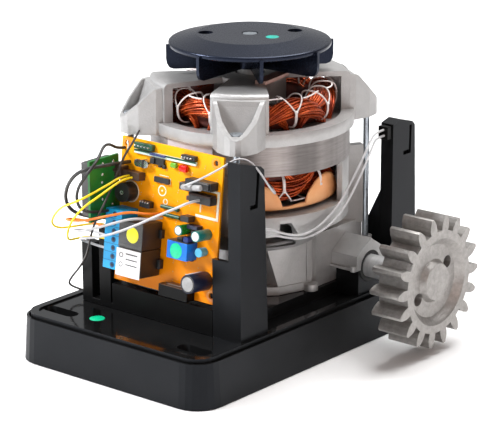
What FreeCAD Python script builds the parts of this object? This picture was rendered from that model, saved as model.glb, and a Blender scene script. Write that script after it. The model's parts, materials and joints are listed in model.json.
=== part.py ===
import FreeCAD, Part
import Sketcher
import math
import os

# Sliding gate motor, cover off.  +Z up, millimetres.  The origin is the centre of the four fixing
# slots on the underside plane of the base.  The output shaft points along +X to the gate, the control
# board faces -Y, and the electric motor stands upright beside the origin.

V = FreeCAD.Vector
doc = FreeCAD.newDocument("gate_motor")
sheet = doc.addObject("Spreadsheet::Sheet", "Params")

DIMENSIONS = {
    "base_width": 147.0,        # base, X at the floor
    "base_length": 238.0,       # base, Y at the floor
    "base_corner": 17.0,
    "skirt_top": 26.8,          # height of the outer skirt
    "rim_top": 29.2,            # height of the raised rim inside the skirt
    "deck_top": 28.2,           # height of the deck inside the rim
    "skirt_wall": 3.0,
    "draft": 3.4,               # degrees, skirt leans inwards
    "slot_x": 52.5,             # fixing slots, half the spacing in X
    "slot_y": 99.0,             # fixing slots, half the spacing in Y
    "slot_length": 25.0,
    "slot_width": 9.0,
    "motor_x": 10.5,            # upright motor axis
    "centre_distance": 42.5,    # worm axis to output axis
    "output_z": 45.7,           # height of the output axis
    "tie_x": 40.3,              # tie screws, half the spacing in X
    "tie_y": 60.4,              # tie screws, half the spacing in Y
    "tie_radius": 1.9,
    "stator_radius": 59.0,
    "stator_bore": 31.0,
    "stack_z": 116.2,           # underside of the laminations
    "stack_height": 22.4,
    "cup_radius": 58.4,         # lower housing cup
    "cup_wall": 3.4,
    "cup_floor": 84.0,
    "ring_radius": 61.4,        # ring of the upper bell
    "ring_z": 134.4,
    "sill_z": 141.4,            # lower edge of the bell windows
    "bell_top": 164.4,
    "rotor_radius": 30.4,
    "shaft_radius": 7.5,        # rotor shaft in its bearings
    "worm_module": 2.0,
    "worm_pitch_radius": 12.5,
    "wheel_teeth": 30,
    "wheel_width": 16.0,
    "output_radius": 8.5,       # output shaft in its bearings
    "gear_teeth": 18,
    "gear_module": 4.0,
    "gear_width": 20.8,
    "gear_x": 98.0,             # rear face of the pinion
    "fan_radius": 47.8,
    "fan_z": 180.6,             # underside of the fan disc
    "board_left": -32.9,        # left edge of the control board
    "board_width": 77.6,
    "board_height": 85.7,
    "board_y": -74.0,           # front face at its lower edge
    "board_z": 46.3,            # lower edge
    "board_lean": 6.7,          # degrees, the top leans towards the motor
    "board_thickness": 1.6,
}
for row, (alias, number) in enumerate(DIMENSIONS.items(), start=1):
    sheet.set(f"A{row}", alias)
    sheet.set(f"B{row}", str(number))
    sheet.setAlias(f"B{row}", alias)
doc.recompute()


def val(alias):
    """The plain number that the sheet holds under an alias."""
    return float(sheet.get(alias))


def par(alias, extra=0.0, times=1.0):
    """An expression on the sheet: times * alias + extra."""
    return f"{times} * Params.{alias} + {extra}"


def mot(extra=0.0):
    """An X place measured from the upright motor axis."""
    return par("motor_x", extra)


def out_y(extra=0.0):
    """A Y place measured from the output axis."""
    return par("centre_distance", extra)


def out_z(extra=0.0):
    """A Z place measured from the output axis."""
    return par("output_z", extra)


PARTS = []
TURN_TO_X = FreeCAD.Rotation(V(0, 1, 0), 90)
TURN_TO_Z_FRONT = FreeCAD.Rotation(V(1, 0, 0), 90)      # a slab's own Y becomes Z, its own Z becomes -Y
NO_TURN = FreeCAD.Rotation()


def bind(obj, prop, value):
    """Sets a size: a string is an expression on the sheet, a number is set as it is."""
    if isinstance(value, str):
        obj.setExpression(prop, value)
    else:
        setattr(obj, prop, value)


def put(obj, at, turn=NO_TURN):
    """Places an object; each coordinate may be a number or an expression."""
    fixed = [0.0 if isinstance(c, str) else c for c in at]
    obj.Placement = FreeCAD.Placement(V(*fixed), turn)
    for axis, c in zip("xyz", at):
        if isinstance(c, str):
            obj.setExpression(f"Placement.Base.{axis}", c)
    return obj


def box(at, size, turn=NO_TURN):
    obj = doc.addObject("Part::Box", "Box")
    for prop, value in zip(("Length", "Width", "Height"), size):
        bind(obj, prop, value)
    return put(obj, at, turn)


def cyl(at, radius, height, turn=NO_TURN, angle=360.0):
    obj = doc.addObject("Part::Cylinder", "Cylinder")
    bind(obj, "Radius", radius)
    bind(obj, "Height", height)
    obj.Angle = angle
    return put(obj, at, turn)


def cone(at, radius_low, radius_high, height, turn=NO_TURN):
    obj = doc.addObject("Part::Cone", "Cone")
    bind(obj, "Radius1", radius_low)
    bind(obj, "Radius2", radius_high)
    bind(obj, "Height", height)
    return put(obj, at, turn)


def fuse(*items):
    obj = doc.addObject("Part::MultiFuse", "Fuse")
    obj.Shapes = list(items)
    return obj


def cut(whole, *tools):
    obj = doc.addObject("Part::Cut", "Cut")
    obj.Base = whole
    obj.Tool = tools[0] if len(tools) == 1 else fuse(*tools)
    return obj


def common(first, second):
    obj = doc.addObject("Part::Common", "Common")
    obj.Base = first
    obj.Tool = second
    return obj


def group(*items):
    """Separate solids kept together in one node."""
    obj = doc.addObject("Part::Compound", "Group")
    obj.Links = list(items)
    return obj


def fillet(obj, radius, chosen):
    """Rounds the edges for which chosen(edge) is true."""
    doc.recompute()
    result = doc.addObject("Part::Fillet", "Fillet")
    result.Base = obj
    result.Edges = [(i, radius, radius) for i, e in enumerate(obj.Shape.Edges, start=1) if chosen(e)]
    return result


def part(label, obj):
    """Registers a finished sub-part under its own name."""
    obj.Label = label
    PARTS.append(obj)
    return obj


def origin_plane(body, role):
    return next(f for f in body.Origin.OriginFeatures if f.Role == role)


def sketch_on(body, role, name):
    sk = body.newObject("Sketcher::SketchObject", name)
    sk.AttachmentSupport = [(origin_plane(body, role), "")]
    sk.MapMode = "FlatFace"
    return sk


def polygon(sk, points):
    """A closed outline of straight lines."""
    count = len(points)
    for i in range(count):
        a, b = points[i], points[(i + 1) % count]
        sk.addGeometry(Part.LineSegment(V(a[0], a[1], 0), V(b[0], b[1], 0)), False)
    for i in range(count):
        sk.addConstraint(Sketcher.Constraint("Coincident", i, 2, (i + 1) % count, 1))


def slab(points, height, at, turn=NO_TURN, taper=0.0):
    """A PartDesign body: an outline on its own XY plane, padded to a height."""
    body = doc.addObject("PartDesign::Body", "Body")
    sk = sketch_on(body, "XY_Plane", "Outline")
    polygon(sk, points)
    pad = body.newObject("PartDesign::Pad", "Pad")
    pad.Profile = sk
    bind(pad, "Length", height)
    if taper:
        pad.TaperAngle = taper
    body.Tip = pad
    sk.Visibility = False
    return put(body, at, turn)


def rounded_rectangle(half_x, half_y, radius, steps=6):
    """Outline points of a rectangle with round corners."""
    points = []
    for sx, sy, start in ((1, 1, 0), (-1, 1, 90), (-1, -1, 180), (1, -1, 270)):
        for k in range(steps + 1):
            a = math.radians(start + 90.0 * k / steps)
            points.append((sx * (half_x - radius) + radius * math.cos(a),
                           sy * (half_y - radius) + radius * math.sin(a)))
    return points


def slot_hole(x, y, z, length, width, depth):
    """A round-ended slot along X that goes through a wall."""
    half = (length - width) / 2
    bar = box((x - half, y - width / 2, z), (2 * half, width, depth))
    ends = [cyl((x + side * half, y, z), width / 2, depth) for side in (-1, 1)]
    return fuse(bar, *ends)


def four(function):
    """Calls function(sx, sy) at the four corners."""
    return [function(sx, sy) for sx in (-1, 1) for sy in (-1, 1)]


# ---------------------------------------------------------------- base and what stands on it

POST_X = (57.5, 66.5)           # both cover posts
CASE_BOTTOM = 35.4              # underside of the gear case, on the seat of the base
CASE_FEET = [(-25.0, -27.5), (23.0, -27.5), (-38.0, 87.0), (36.0, 87.0)]   # X from the motor axis, Y


def cover_post(profile, groove):
    """A cover post with a hooked groove in its outer face; both outlines are (Y, Z)."""
    depth = 3.0
    turn = FreeCAD.Rotation(V(0, 0, 1), 90) * FreeCAD.Rotation(V(1, 0, 0), 90)
    post = slab(profile, POST_X[1] - POST_X[0], (POST_X[0], 0.0, 0.0), turn)
    return cut(post, slab(groove, 2 * depth, (POST_X[1] - depth, 0.0, 0.0), turn))


def base():
    """Upturned moulded tray: skirt, rim, deck with a well for the gear case, and two cover posts."""
    hx, hy = val("base_width") / 2, val("base_length") / 2
    corner, wall = val("base_corner"), val("skirt_wall")
    draft = val("draft")
    lean = math.tan(math.radians(draft))
    outer = slab(rounded_rectangle(hx, hy, corner), par("skirt_top"), (0, 0, 0), taper=-draft)
    inside = rounded_rectangle(hx - wall, hy - wall, corner - wall)
    hollow = slab(inside, par("skirt_top", -wall), (0, 0, -0.01), taper=-draft)
    inset = val("skirt_top") * lean
    gap_out = rounded_rectangle(hx - inset - 1.3, hy - inset - 1.3, corner - 2.9)
    gap_in = rounded_rectangle(hx - inset - 2.5, hy - inset - 2.5, corner - 4.1)
    gap = cut(slab(gap_out, 3.0, (0, 0, par("skirt_top", -2.0))),
              slab(gap_in, 5.0, (0, 0, par("skirt_top", -3.0))))
    rim = slab(gap_in, par("rim_top", -val("skirt_top") + 2.0), (0, 0, par("skirt_top", -2.0)))
    floor_outline = rounded_rectangle(hx - inset - 7.0, hy - inset - 7.0, corner - 8.0)
    floor_cut = slab(floor_outline, 4.0, (0, 0, par("deck_top")))
    seat = slab(rounded_rectangle(42.0, 66.0, 8.0), CASE_BOTTOM - val("deck_top") - 0.1,
                (par("motor_x", -1.0), 28.0, par("deck_top", -0.2)))
    well = slab(rounded_rectangle(36.5, 51.2, 10.0), 40.0, (par("motor_x", -5.0), 30.7, 0.0))
    saddle = cut(box((mot(40.4), out_y(-10.6), par("deck_top", -0.2)), (16.8, 21.2, 16.5)),
                 cyl((mot(30.0), out_y(), out_z()), 9.9, 40.0, TURN_TO_X))
    slots = four(lambda sx, sy: slot_hole(sx * val("slot_x"), sy * val("slot_y"), -1.0,
                                          val("slot_length"), val("slot_width"), 40.0))
    bosses = four(lambda sx, sy: slab(rounded_rectangle(16.5, 8.5, 8.0), par("skirt_top"),
                                      (sx * val("slot_x"), sy * val("slot_y"), 0.0)))
    screw_bosses = [cyl((mot(x), y, 8.0), 5.0, 20.0) for x, y in CASE_FEET]
    screw_holes = [cyl((mot(x), y, 12.0), 2.1, 40.0) for x, y in CASE_FEET]
    front = cover_post([(-76.0, 27.0), (-52.0, 27.0), (-55.0, 126.5), (-58.0, 129.0), (-75.0, 134.0),
                        (-76.0, 134.0)],
                       [(-61.2, 126.0), (-59.0, 126.0), (-60.9, 105.5), (-67.5, 105.5), (-67.5, 108.0),
                        (-63.1, 108.0)])
    foot_lip = box((57.5 - 12.0, -76.0, 27.0), (12.0, 3.0, 48.0))
    rear = cover_post([(66.0, 27.0), (91.5, 27.0), (88.5, 123.5), (86.0, 126.0), (74.0, 129.5),
                       (66.5, 127.5)],
                      [(83.0, 124.0), (85.2, 124.0), (84.6, 106.5), (77.0, 106.5), (77.0, 109.0),
                       (82.6, 109.0)])
    web = slab([(0.0, 0.0), (10.5, 0.0), (10.5, 58.0), (0.0, 37.0)], 3.0, (47.0, 69.0, 27.0), TURN_TO_Z_FRONT)
    tray = cut(fuse(cut(outer, hollow, gap), rim, *bosses), floor_cut)
    nose_clear = cyl((mot(29.0), out_y(), out_z()), 11.3, 11.3, TURN_TO_X)
    whole = cut(fuse(tray, seat, saddle, *screw_bosses), well, nose_clear, *slots, *screw_holes)
    part("base", fuse(whole, front, foot_lip, rear, web))



def board_bracket():
    """Holder of the control board: a low wall with a shelf, and two uprights on a common foot."""
    z = par("deck_top", 0.2)
    wall = box((-32.5, -76.0, z), (77.7, 1.7, 15.5))
    shelf = box((-32.5, -74.4, z), (77.7, 4.4, 15.8))
    upright_a = box((-56.5, -76.0, z), (8.0, 8.0, 36.8))
    upright_b = box((-42.5, -76.0, z), (8.8, 10.0, 48.0))
    foot = box((-56.5, -76.0, z), (26.0, 10.0, 3.0))
    part("board_bracket", fuse(wall, shelf, upright_a, upright_b, foot))


# ---------------------------------------------------------------- gear case



CASE_TOP = 68.4
CASE_PLAN = [(39.0, 14.6), (39.0, 56.0), (33.0, 68.0), (22.0, 84.0), (-24.0, 84.0), (-32.0, 66.0),
             (-32.0, -10.0), (-24.0, -25.0), (26.5, -25.0), (37.3, 6.4), (38.2, 6.2), (39.2, 9.4),
             (36.4, 10.6), (36.4, 13.8)]
FLANGE_PLAN = [(39.0, 14.6), (39.0, 56.0), (33.6, 69.6), (22.4, 86.0), (-24.5, 86.0), (-32.0, 68.0),
               (-32.0, -8.0), (-30.5, -30.0), (-25.0, -34.0), (23.0, -34.0), (28.6, -28.0), (26.0, -17.5),
               (31.6, -12.0), (38.7, 9.4), (36.4, 10.6), (36.4, 13.8)]
OPEN_FROM, OPEN_SPAN = -43.0, 60.0      # window of the cup, degrees, and the same again opposite


def sector(radius, z, height, start, span):
    """A slice of pie about the motor axis."""
    return cyl((mot(), 0.0, z), radius, height, FreeCAD.Rotation(V(0, 0, 1), start), span)


def recess():
    """Hollow under the front of the cup, in the plane square to its bearing; its right edge leans."""
    bearing = -24.0
    swing = FreeCAD.Rotation(V(0, 0, 1), bearing)
    turn = swing * FreeCAD.Rotation(V(0, 0, 1), 90) * FreeCAD.Rotation(V(1, 0, 0), 90)
    outline = [(-9.5, 87.5), (-2.5, 87.5), (4.6, 76.0), (9.3, CASE_TOP + 0.1), (-26.0, CASE_TOP + 0.1),
               (-26.0, 79.0), (-9.5, 79.0)]
    start = swing.multVec(V(30.0, 0, 0))
    return slab(outline, 40.0, (mot(start.x), start.y, 0.0), turn)


def case_walls():
    """Gear case: an upright prism whose board side leans in towards the base, with a domed rear."""
    case = slab(CASE_PLAN, 45.0, (mot(), 0.0, CASE_BOTTOM + 5.0))
    lean_in = FreeCAD.Rotation(V(1, 0, 0), 16.5)
    board_side = box((mot(-60.0), -20.2, CASE_TOP), (120.0, 60.0, 90.0), lean_in)
    start = lean_in.multVec(V(0, -60.0, -45.0))
    put(board_side, (mot(-60.0), -20.2 + start.y, CASE_TOP + start.z), lean_in)
    envelope = fuse(cyl((mot(-25.0), out_y(), out_z()), 38.5, 50.0, TURN_TO_X),
                    box((mot(-60.0), -60.0, 0.0), (120.0, 160.0, CASE_TOP)),
                    cyl((mot(), 0.0, 60.0), 25.0, 24.0))
    return common(cut(case, board_side), envelope)


def lower_housing():
    """Casting that holds the gears below and seats the laminations above."""
    cup = cyl((mot(), 0.0, 80.0), par("cup_radius"), par("stack_z", -80.2))
    hollow = cyl((mot(), 0.0, par("cup_floor", 7.5)), par("cup_radius", -val("cup_wall")), 40.0)
    windows = [sector(80.0, par("cup_floor", 7.5), 40.0, OPEN_FROM + turn, OPEN_SPAN) for turn in (0, 180)]
    under = cyl((mot(), 0.0, 60.0), par("cup_radius", -val("cup_wall") - 1.0), par("cup_floor", -60.0))
    skirt = cut(cone((mot(), 0.0, 66.0), 40.0, val("cup_radius") - 0.4, 18.0),
                cone((mot(), 0.0, 65.9), 36.0, val("cup_radius") - 4.4, 18.2))
    shell = cut(fuse(cut(cup, hollow, under, *windows), skirt), recess())
    flange = slab(FLANGE_PLAN, 5.0, (mot(), 0.0, CASE_BOTTOM))
    sump = cyl((mot(-18.0), out_y(), out_z()), 37.6, 36.0, TURN_TO_X)
    worm_tube = cyl((mot(), 0.0, 8.0), 19.6, 68.0)
    output_boss = cyl((mot(9.0), out_y(), out_z()), 24.0, 15.0, TURN_TO_X)
    fins = []
    lugs = []
    for sx, sy in ((1, 1), (1, -1), (-1, 1), (-1, -1)):
        bearing = math.degrees(math.atan2(sy * val("tie_y"), sx * val("tie_x")))
        swing = FreeCAD.Rotation(V(0, 0, 1), bearing)
        fin = box((mot(), 0.0, 55.0), (70.0, 6.0, 60.0), swing)
        side = swing.multVec(V(0, -3.0, 0))
        put(fin, (mot(side.x), side.y, 55.0), swing)
        fins.append(fin)
        lugs.append(cyl((mot(sx * val("tie_x")), sy * val("tie_y"), 40.0), 4.2, 17.0))
        lug_web = box((0, 0, 0), (72.6, 7.0, 17.0))
        side = swing.multVec(V(0, -3.5, 0))
        put(lug_web, (mot(side.x), side.y, 40.0), swing)
        lugs.append(lug_web)
    tie_holes = four(lambda sx, sy: cyl((mot(sx * val("tie_x")), sy * val("tie_y"), 42.0), 1.6, 20.0))
    fin_clear = fuse(cyl((mot(), 0.0, par("cup_floor")), 54.0, 100.0), cyl((mot(), 0.0, 40.0), 46.0, 50.0))
    fin_set = cut(fuse(*fins, *lugs), fin_clear)
    chamber = cyl((mot(-10.0), out_y(), out_z()), 33.2, 20.0, TURN_TO_X)
    cover_bore = cyl((mot(-60.0), out_y(), out_z()), 33.2, 50.1, TURN_TO_X)
    worm_bore = cyl((mot(), 0.0, 22.0), 16.2, 51.0)
    low_seat = cyl((mot(), 0.0, 13.0), 13.0, 10.0)
    top_seat = fuse(cyl((mot(), 0.0, 72.9), 17.5, 12.0), cyl((mot(), 0.0, 80.0), 10.5, 20.0))
    out_seat = cyl((mot(9.0), out_y(), out_z()), 20.0, 13.0, TURN_TO_X)
    out_bore = cyl((mot(20.0), out_y(), out_z()), 11.0, 30.0, TURN_TO_X)
    feet = [cyl((mot(x), y, CASE_BOTTOM), 6.5, 5.0) for x, y in CASE_FEET]
    arms = [box((mot(x - 10.0 if x > 0 else x), y - 6.6, CASE_BOTTOM), (10.0, 9.6, 5.0))
            for x, y in CASE_FEET[2:]]
    side_foot = cyl((mot(39.4), 8.6, CASE_BOTTOM - 0.2), 4.3, 4.2)
    screw_holes = [cyl((mot(x), y, 20.0), 2.6, 30.0) for x, y in CASE_FEET]
    nose_clear = box((mot(39.05), out_y(-15.5), CASE_BOTTOM), (30.0, 31.0, 31.0))
    body = fuse(shell, case_walls(), flange, sump, worm_tube, output_boss, fin_set, side_foot, *feet, *arms)
    part("lower_housing", cut(body, chamber, cover_bore, worm_bore, low_seat, top_seat, out_seat, out_bore,
                              nose_clear, *screw_holes, *tie_holes))


def side_cover():
    """Round cover on the back of the gear case, with the rear bearing seat."""
    plate = cyl((mot(-37.0), out_y(), out_z()), 37.0, 4.8, TURN_TO_X)
    spigot = cyl((mot(-32.3), out_y(), out_z()), 33.0, 20.0, TURN_TO_X)
    seat = cyl((mot(-24.0), out_y(), out_z()), 20.0, 20.0, TURN_TO_X)
    cup_clear = cyl((mot(), 0.0, 65.7), par("cup_radius", 0.3), 60.0)
    swing = FreeCAD.Rotation(V(0, 0, 1), math.degrees(math.atan2(val("tie_y"), -val("tie_x"))))
    side = swing.multVec(V(50.0, -3.8, 0))
    fin_clear = box((mot(side.x), side.y, 54.7), (30.0, 7.6, 60.0), swing)
    part("side_cover", cut(fuse(cut(plate, cup_clear, fin_clear), spigot), seat))


def output_housing():
    """Ridged upper half of the nose on the gate side, with its joint flange, over the output shaft."""
    ridge = [(-13.5, -0.7), (13.5, -0.7), (13.5, 8.6), (0.0, 17.4), (-13.5, 8.6)]
    turn = FreeCAD.Rotation(V(0, 0, 1), 90) * FreeCAD.Rotation(V(1, 0, 0), 90)
    nose = slab(ridge, 19.0, (mot(39.1), out_y(), out_z()), turn)
    flange = box((mot(39.1), out_y(-14.8), out_z(-0.7)), (18.0, 29.6, 1.6))
    pins = [cyl((mot(55.6), out_y(side * 13.6), out_z(-1.0)), 1.9, 3.4) for side in (-1, 1)]
    spigot = cyl((mot(30.0), out_y(), out_z()), 10.9, 10.0, TURN_TO_X)
    bore = cyl((mot(25.0), out_y(), out_z()), par("output_radius", 0.15), 50.0, TURN_TO_X)
    seal_seat = cyl((mot(52.0), out_y(), out_z()), 9.6, 10.0, TURN_TO_X)
    part("output_housing", cut(fuse(nose, flange, spigot, *pins), bore, seal_seat))


def shaft_seal():
    ring = cyl((mot(52.1), out_y(), out_z()), 9.6, 5.6, TURN_TO_X)
    bore = cyl((mot(50.0), out_y(), out_z()), 7.2, 10.0, TURN_TO_X)
    part("shaft_seal", cut(ring, bore))


def ball_bearing(label, at, bore, outer, width, turn=NO_TURN):
    """A closed ball bearing made as one ring with a groove on each face."""
    ring = cyl(at, outer, width, turn)
    hole = cyl(at, bore, width, turn)
    part(label, cut(ring, hole))


def bearings():
    ball_bearing("lower_bearing", (mot(), 0.0, 13.0), 5.1, 13.0, 8.0)
    ball_bearing("middle_bearing", (mot(), 0.0, 72.9), par("shaft_radius", 0.1), 17.5, 11.0)
    ball_bearing("upper_bearing", (mot(), 0.0, 151.0), par("shaft_radius", 0.1), 17.5, 11.0)
    for label, x in (("inner_output_bearing", -24.0), ("outer_output_bearing", 10.0)):
        ball_bearing(label, (mot(x), out_y(), out_z()), par("output_radius", 0.1), 20.0, 12.0, TURN_TO_X)


# ---------------------------------------------------------------- toothed pieces

PRESSURE = math.radians(20.0)


def tooth_gap(teeth, module, root_radius, tip_radius, thinner, steps=4):
    """Outline of one tooth space: involute flanks, thinner adds to the space at the pitch circle."""
    pitch = teeth * module / 2
    base_circle = pitch * math.cos(PRESSURE)
    inv = math.tan(PRESSURE) - PRESSURE
    points = []
    over = tip_radius + 1.0
    for k in range(steps + 1):
        radius = root_radius + (over - root_radius) * k / steps
        a = math.acos(min(1.0, base_circle / radius))
        half_tooth = math.pi / (2 * teeth) - thinner / (2 * pitch) + inv - (math.tan(a) - a)
        half_gap = math.pi / teeth - half_tooth
        points.append((radius, half_gap))
    outline = [(r * math.cos(g), r * math.sin(g)) for r, g in points]
    return outline + [(x, -y) for x, y in reversed(outline)]


def toothed_body(teeth, module, width, tip, root, thinner, twist=0.0):
    """A spur or slightly helical wheel about its own Z axis, centred on its width."""
    body = doc.addObject("PartDesign::Body", "Wheel")
    rim = sketch_on(body, "XY_Plane", "Rim")
    rim.addGeometry(Part.Circle(V(0, 0, 0), V(0, 0, 1), tip), False)
    disc = body.newObject("PartDesign::Pad", "Disc")
    disc.Profile = rim
    disc.Length = width
    disc.Midplane = True
    gap = tooth_gap(teeth, module, root, tip, thinner)
    ends = []
    for side in (-1, 1):
        sk = sketch_on(body, "XY_Plane", "Gap")
        sk.AttachmentOffset = FreeCAD.Placement(V(0, 0, side * (width / 2 + 0.5)), NO_TURN)
        a = side * math.radians(twist) / 2
        polygon(sk, [(x * math.cos(a) - y * math.sin(a), x * math.sin(a) + y * math.cos(a)) for x, y in gap])
        ends.append(sk)
    space = body.newObject("PartDesign::SubtractiveLoft", "Space")
    space.Profile = ends[0]
    space.Sections = [ends[1]]
    space.Ruled = True
    doc.recompute()
    ring = body.newObject("PartDesign::PolarPattern", "Teeth")
    ring.Originals = [space]
    ring.Axis = (rim, ["N_Axis"])
    ring.Angle = 360.0
    ring.Occurrences = teeth
    body.Tip = ring
    return body


def worm_wheel():
    """Bronze wheel, its teeth inclined by the lead angle of the single-start worm."""
    teeth, module, width = int(val("wheel_teeth")), val("worm_module"), val("wheel_width")
    pitch = teeth * module / 2
    lead_angle = math.atan(module / (2 * val("worm_pitch_radius")))
    twist = math.degrees(math.tan(lead_angle) * width / pitch)
    rim = toothed_body(teeth, module, width, pitch + module, pitch - 1.25 * module, 0.0, twist)
    put(rim, (mot(), out_y(), out_z()), TURN_TO_X)
    bore = cyl((mot(-20.0), out_y(), out_z()), 10.0, 40.0, TURN_TO_X)
    keyway = box((mot(-20.0), out_y(-3.0), out_z(6.0)), (40.0, 6.0, 6.6))
    part("worm_wheel", cut(rim, bore, keyway))


def output_shaft():
    """Shaft from the rear bearing through the wheel and the nose to the pinion."""
    rear = cyl((mot(-24.0), out_y(), out_z()), par("output_radius"), 14.0, TURN_TO_X)
    middle = cyl((mot(-11.5), out_y(), out_z()), 10.0, 21.0, TURN_TO_X)
    front = cyl((mot(9.0), out_y(), out_z()), par("output_radius"), 42.9, TURN_TO_X)
    nose = cyl((mot(50.0), out_y(), out_z()), 7.0, 54.0, TURN_TO_X)
    keyway = box((mot(-7.5), out_y(-3.0), out_z(6.0)), (15.0, 6.0, 10.0))
    pinion_way = box((mot(89.0), out_y(-2.5), out_z(4.0)), (14.0, 5.0, 10.0))
    part("output_shaft", cut(fuse(rear, middle, front, nose), keyway, pinion_way))


def keys():
    part("wheel_key", box((mot(-7.0), out_y(-2.95), out_z(6.05)), (14.0, 5.9, 6.4)))
    part("pinion_key", box((mot(89.5), out_y(-2.45), out_z(4.05)), (13.0, 4.9, 5.0)))


def pinion_gear():
    """Rack pinion: eighteen teeth, a dished front with two windows, and a hub bored for the shaft."""
    teeth, module, width = int(val("gear_teeth")), val("gear_module"), val("gear_width")
    pitch = teeth * module / 2
    rim = toothed_body(teeth, module, width, pitch + module, pitch - 1.2 * module, 0.6)
    put(rim, (par("gear_x", width / 2), out_y(), out_z()), TURN_TO_X)
    hub = cyl((par("gear_x", -6.0), out_y(), out_z()), 14.0, 8.0, TURN_TO_X)
    dish = cone((par("gear_x", width - 4.5), out_y(), out_z()), 22.0, 26.5, 4.6, TURN_TO_X)
    boss = cone((par("gear_x", width - 6.0), out_y(), out_z()), 14.0, 11.0, 5.0, TURN_TO_X)
    windows = []
    for turn in (30.0, 210.0):
        y, z = 16.6 * math.cos(math.radians(turn)), 16.6 * math.sin(math.radians(turn))
        windows.append(cyl((par("gear_x", -10.0), out_y(y), out_z(z)), 3.8, 60.0, TURN_TO_X))
    bore = cyl((par("gear_x", -20.0), out_y(), out_z()), 7.0, 37.0, TURN_TO_X)
    keyway = box((par("gear_x", -20.0), out_y(-2.5), out_z(3.0)), (36.0, 5.0, 6.2))
    part("pinion_gear", cut(fuse(cut(rim, dish), hub, boss), *windows, bore, keyway))


def worm_thread():
    """One helical thread of trapezoid section about the motor axis, right-handed."""
    lead = math.pi * val("worm_module")
    turns = 5.2
    root, tip = val("worm_pitch_radius") - 3.1, val("worm_pitch_radius") + 1.8
    half_pitch_line = 1.2
    slope = math.tan(PRESSURE)
    half_root = half_pitch_line + slope * (val("worm_pitch_radius") - root)
    half_tip = half_pitch_line - slope * (tip - val("worm_pitch_radius"))
    helix = Part.makeHelix(lead, lead * turns, root)
    section = Part.makePolygon([V(root, 0, -half_root), V(tip, 0, -half_tip), V(tip, 0, half_tip),
                                V(root, 0, half_root), V(root, 0, -half_root)])
    return Part.Wire(helix).makePipeShell([section], True, True)


def rotor_shaft():
    """Steel shaft with the worm on its lower half, one thread centred half a pitch from the output axis."""
    lower = cyl((mot(), 0.0, 13.0), 5.0, 9.5)
    core = cyl((mot(), 0.0, 22.0), 9.8, 49.0)
    neck = cyl((mot(), 0.0, 70.5), par("shaft_radius"), 22.0)
    body = cyl((mot(), 0.0, 90.0), 9.0, 60.0)
    top = cyl((mot(), 0.0, 149.0), par("shaft_radius"), 18.0)
    tip = cyl((mot(), 0.0, 166.0), 6.0, 18.5)
    bore = cyl((mot(), 0.0, 174.0), 1.65, 20.0)
    thread = doc.addObject("Part::Feature", "WormThread")
    thread.Shape = worm_thread()
    lead = math.pi * val("worm_module")
    put(thread, (mot(), 0.0, out_z(0.25 * lead - 3 * lead)))
    part("rotor_shaft", cut(fuse(fuse(core, thread), lower, neck, body, top, tip), bore))


# ---------------------------------------------------------------- electric motor

def rotor():
    """Squirrel cage: laminations with an end ring above and below."""
    core = cyl((mot(), 0.0, par("stack_z")), par("rotor_radius"), par("stack_height"))
    rings = [cyl((mot(), 0.0, par("stack_z", z)), 27.5, 5.0) for z in (-5.0, val("stack_height"))]
    part("rotor", cut(fuse(core, *rings), cyl((mot(), 0.0, 100.0), 9.0, 60.0)))


def stator_core():
    ring = cyl((mot(), 0.0, par("stack_z")), par("stator_radius"), par("stack_height"))
    part("stator_core", cut(ring, cyl((mot(), 0.0, 100.0), par("stator_bore"), 60.0)))


def winding(label, z, height, outer=50.6):
    """End turns of the stator coils as one closed ring."""
    ring = cut(cyl((mot(), 0.0, z), outer, height), cyl((mot(), 0.0, 80.0), 34.5, 100.0))
    part(label, fillet(ring, 6.0, lambda e: len(e.Vertexes) == 1 and abs(e.Curve.Radius - outer) < 0.01))


def windings():
    winding("upper_winding", par("stack_z", val("stack_height") + 0.0), 20.5)
    winding("lower_winding", 95.6, par("stack_z", -95.6))
    paper = cut(cyl((mot(), 0.0, 93.4), 51.8, 10.0), cyl((mot(), 0.0, 94.9), 50.8, 20.0),
                cyl((mot(), 0.0, 90.0), 34.5, 20.0))
    part("insulation_paper", paper)


def bearing_of(sx, sy):
    """Compass bearing, in degrees, of one tie screw from the motor axis."""
    return math.degrees(math.atan2(sy * val("tie_y"), sx * val("tie_x")))


def upright(outline, width, bearing):
    """A plate of an outline (radius, Z) that stands along a bearing from the motor axis."""
    swing = FreeCAD.Rotation(V(0, 0, 1), bearing)
    start = swing.multVec(V(0, width / 2, 0))
    return slab(outline, width, (mot(start.x), start.y, 0.0), swing * FreeCAD.Rotation(V(1, 0, 0), 90))


def ear(sx, sy):
    """Nose of the upper bell around one tie screw, its top sloping down and outwards."""
    bearing = bearing_of(sx, sy)
    plan = [(40.0, -15.0), (61.0, -15.0), (70.6, -11.3), (76.0, -6.5), (78.2, -3.2), (78.9, 0.0),
            (78.2, 3.2), (76.0, 6.5), (70.6, 11.3), (61.0, 15.0), (40.0, 15.0)]
    nose = slab(plan, 40.0, (mot(), 0.0, par("ring_z", -0.4)), FreeCAD.Rotation(V(0, 0, 1), bearing))
    side = [(20.0, 130.0), (81.0, 130.0), (81.0, 142.4), (78.7, 143.0), (63.0, 160.4), (61.6, 161.3),
            (58.0, 161.8), (20.0, 161.8)]
    return common(nose, upright(side, 50.0, bearing))


def pocket(sx, sy):
    """Scoop in the sloping top of an ear that frees the head of its tie screw."""
    bearing = bearing_of(sx, sy)
    plan = [(59.5, -12.6), (62.5, -12.0), (70.4, -8.4), (75.0, -4.4), (76.8, -2.2), (76.8, 2.2),
            (75.0, 4.4), (70.4, 8.4), (62.5, 12.0), (59.5, 12.6)]
    scoop = slab(plan, 40.0, (mot(), 0.0, 143.0), FreeCAD.Rotation(V(0, 0, 1), bearing))
    side = [(60.2, 163.0), (61.4, 158.5), (68.0, 143.0), (90.0, 143.0), (90.0, 170.0), (60.2, 170.0)]
    return common(scoop, upright(side, 50.0, bearing))


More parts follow.
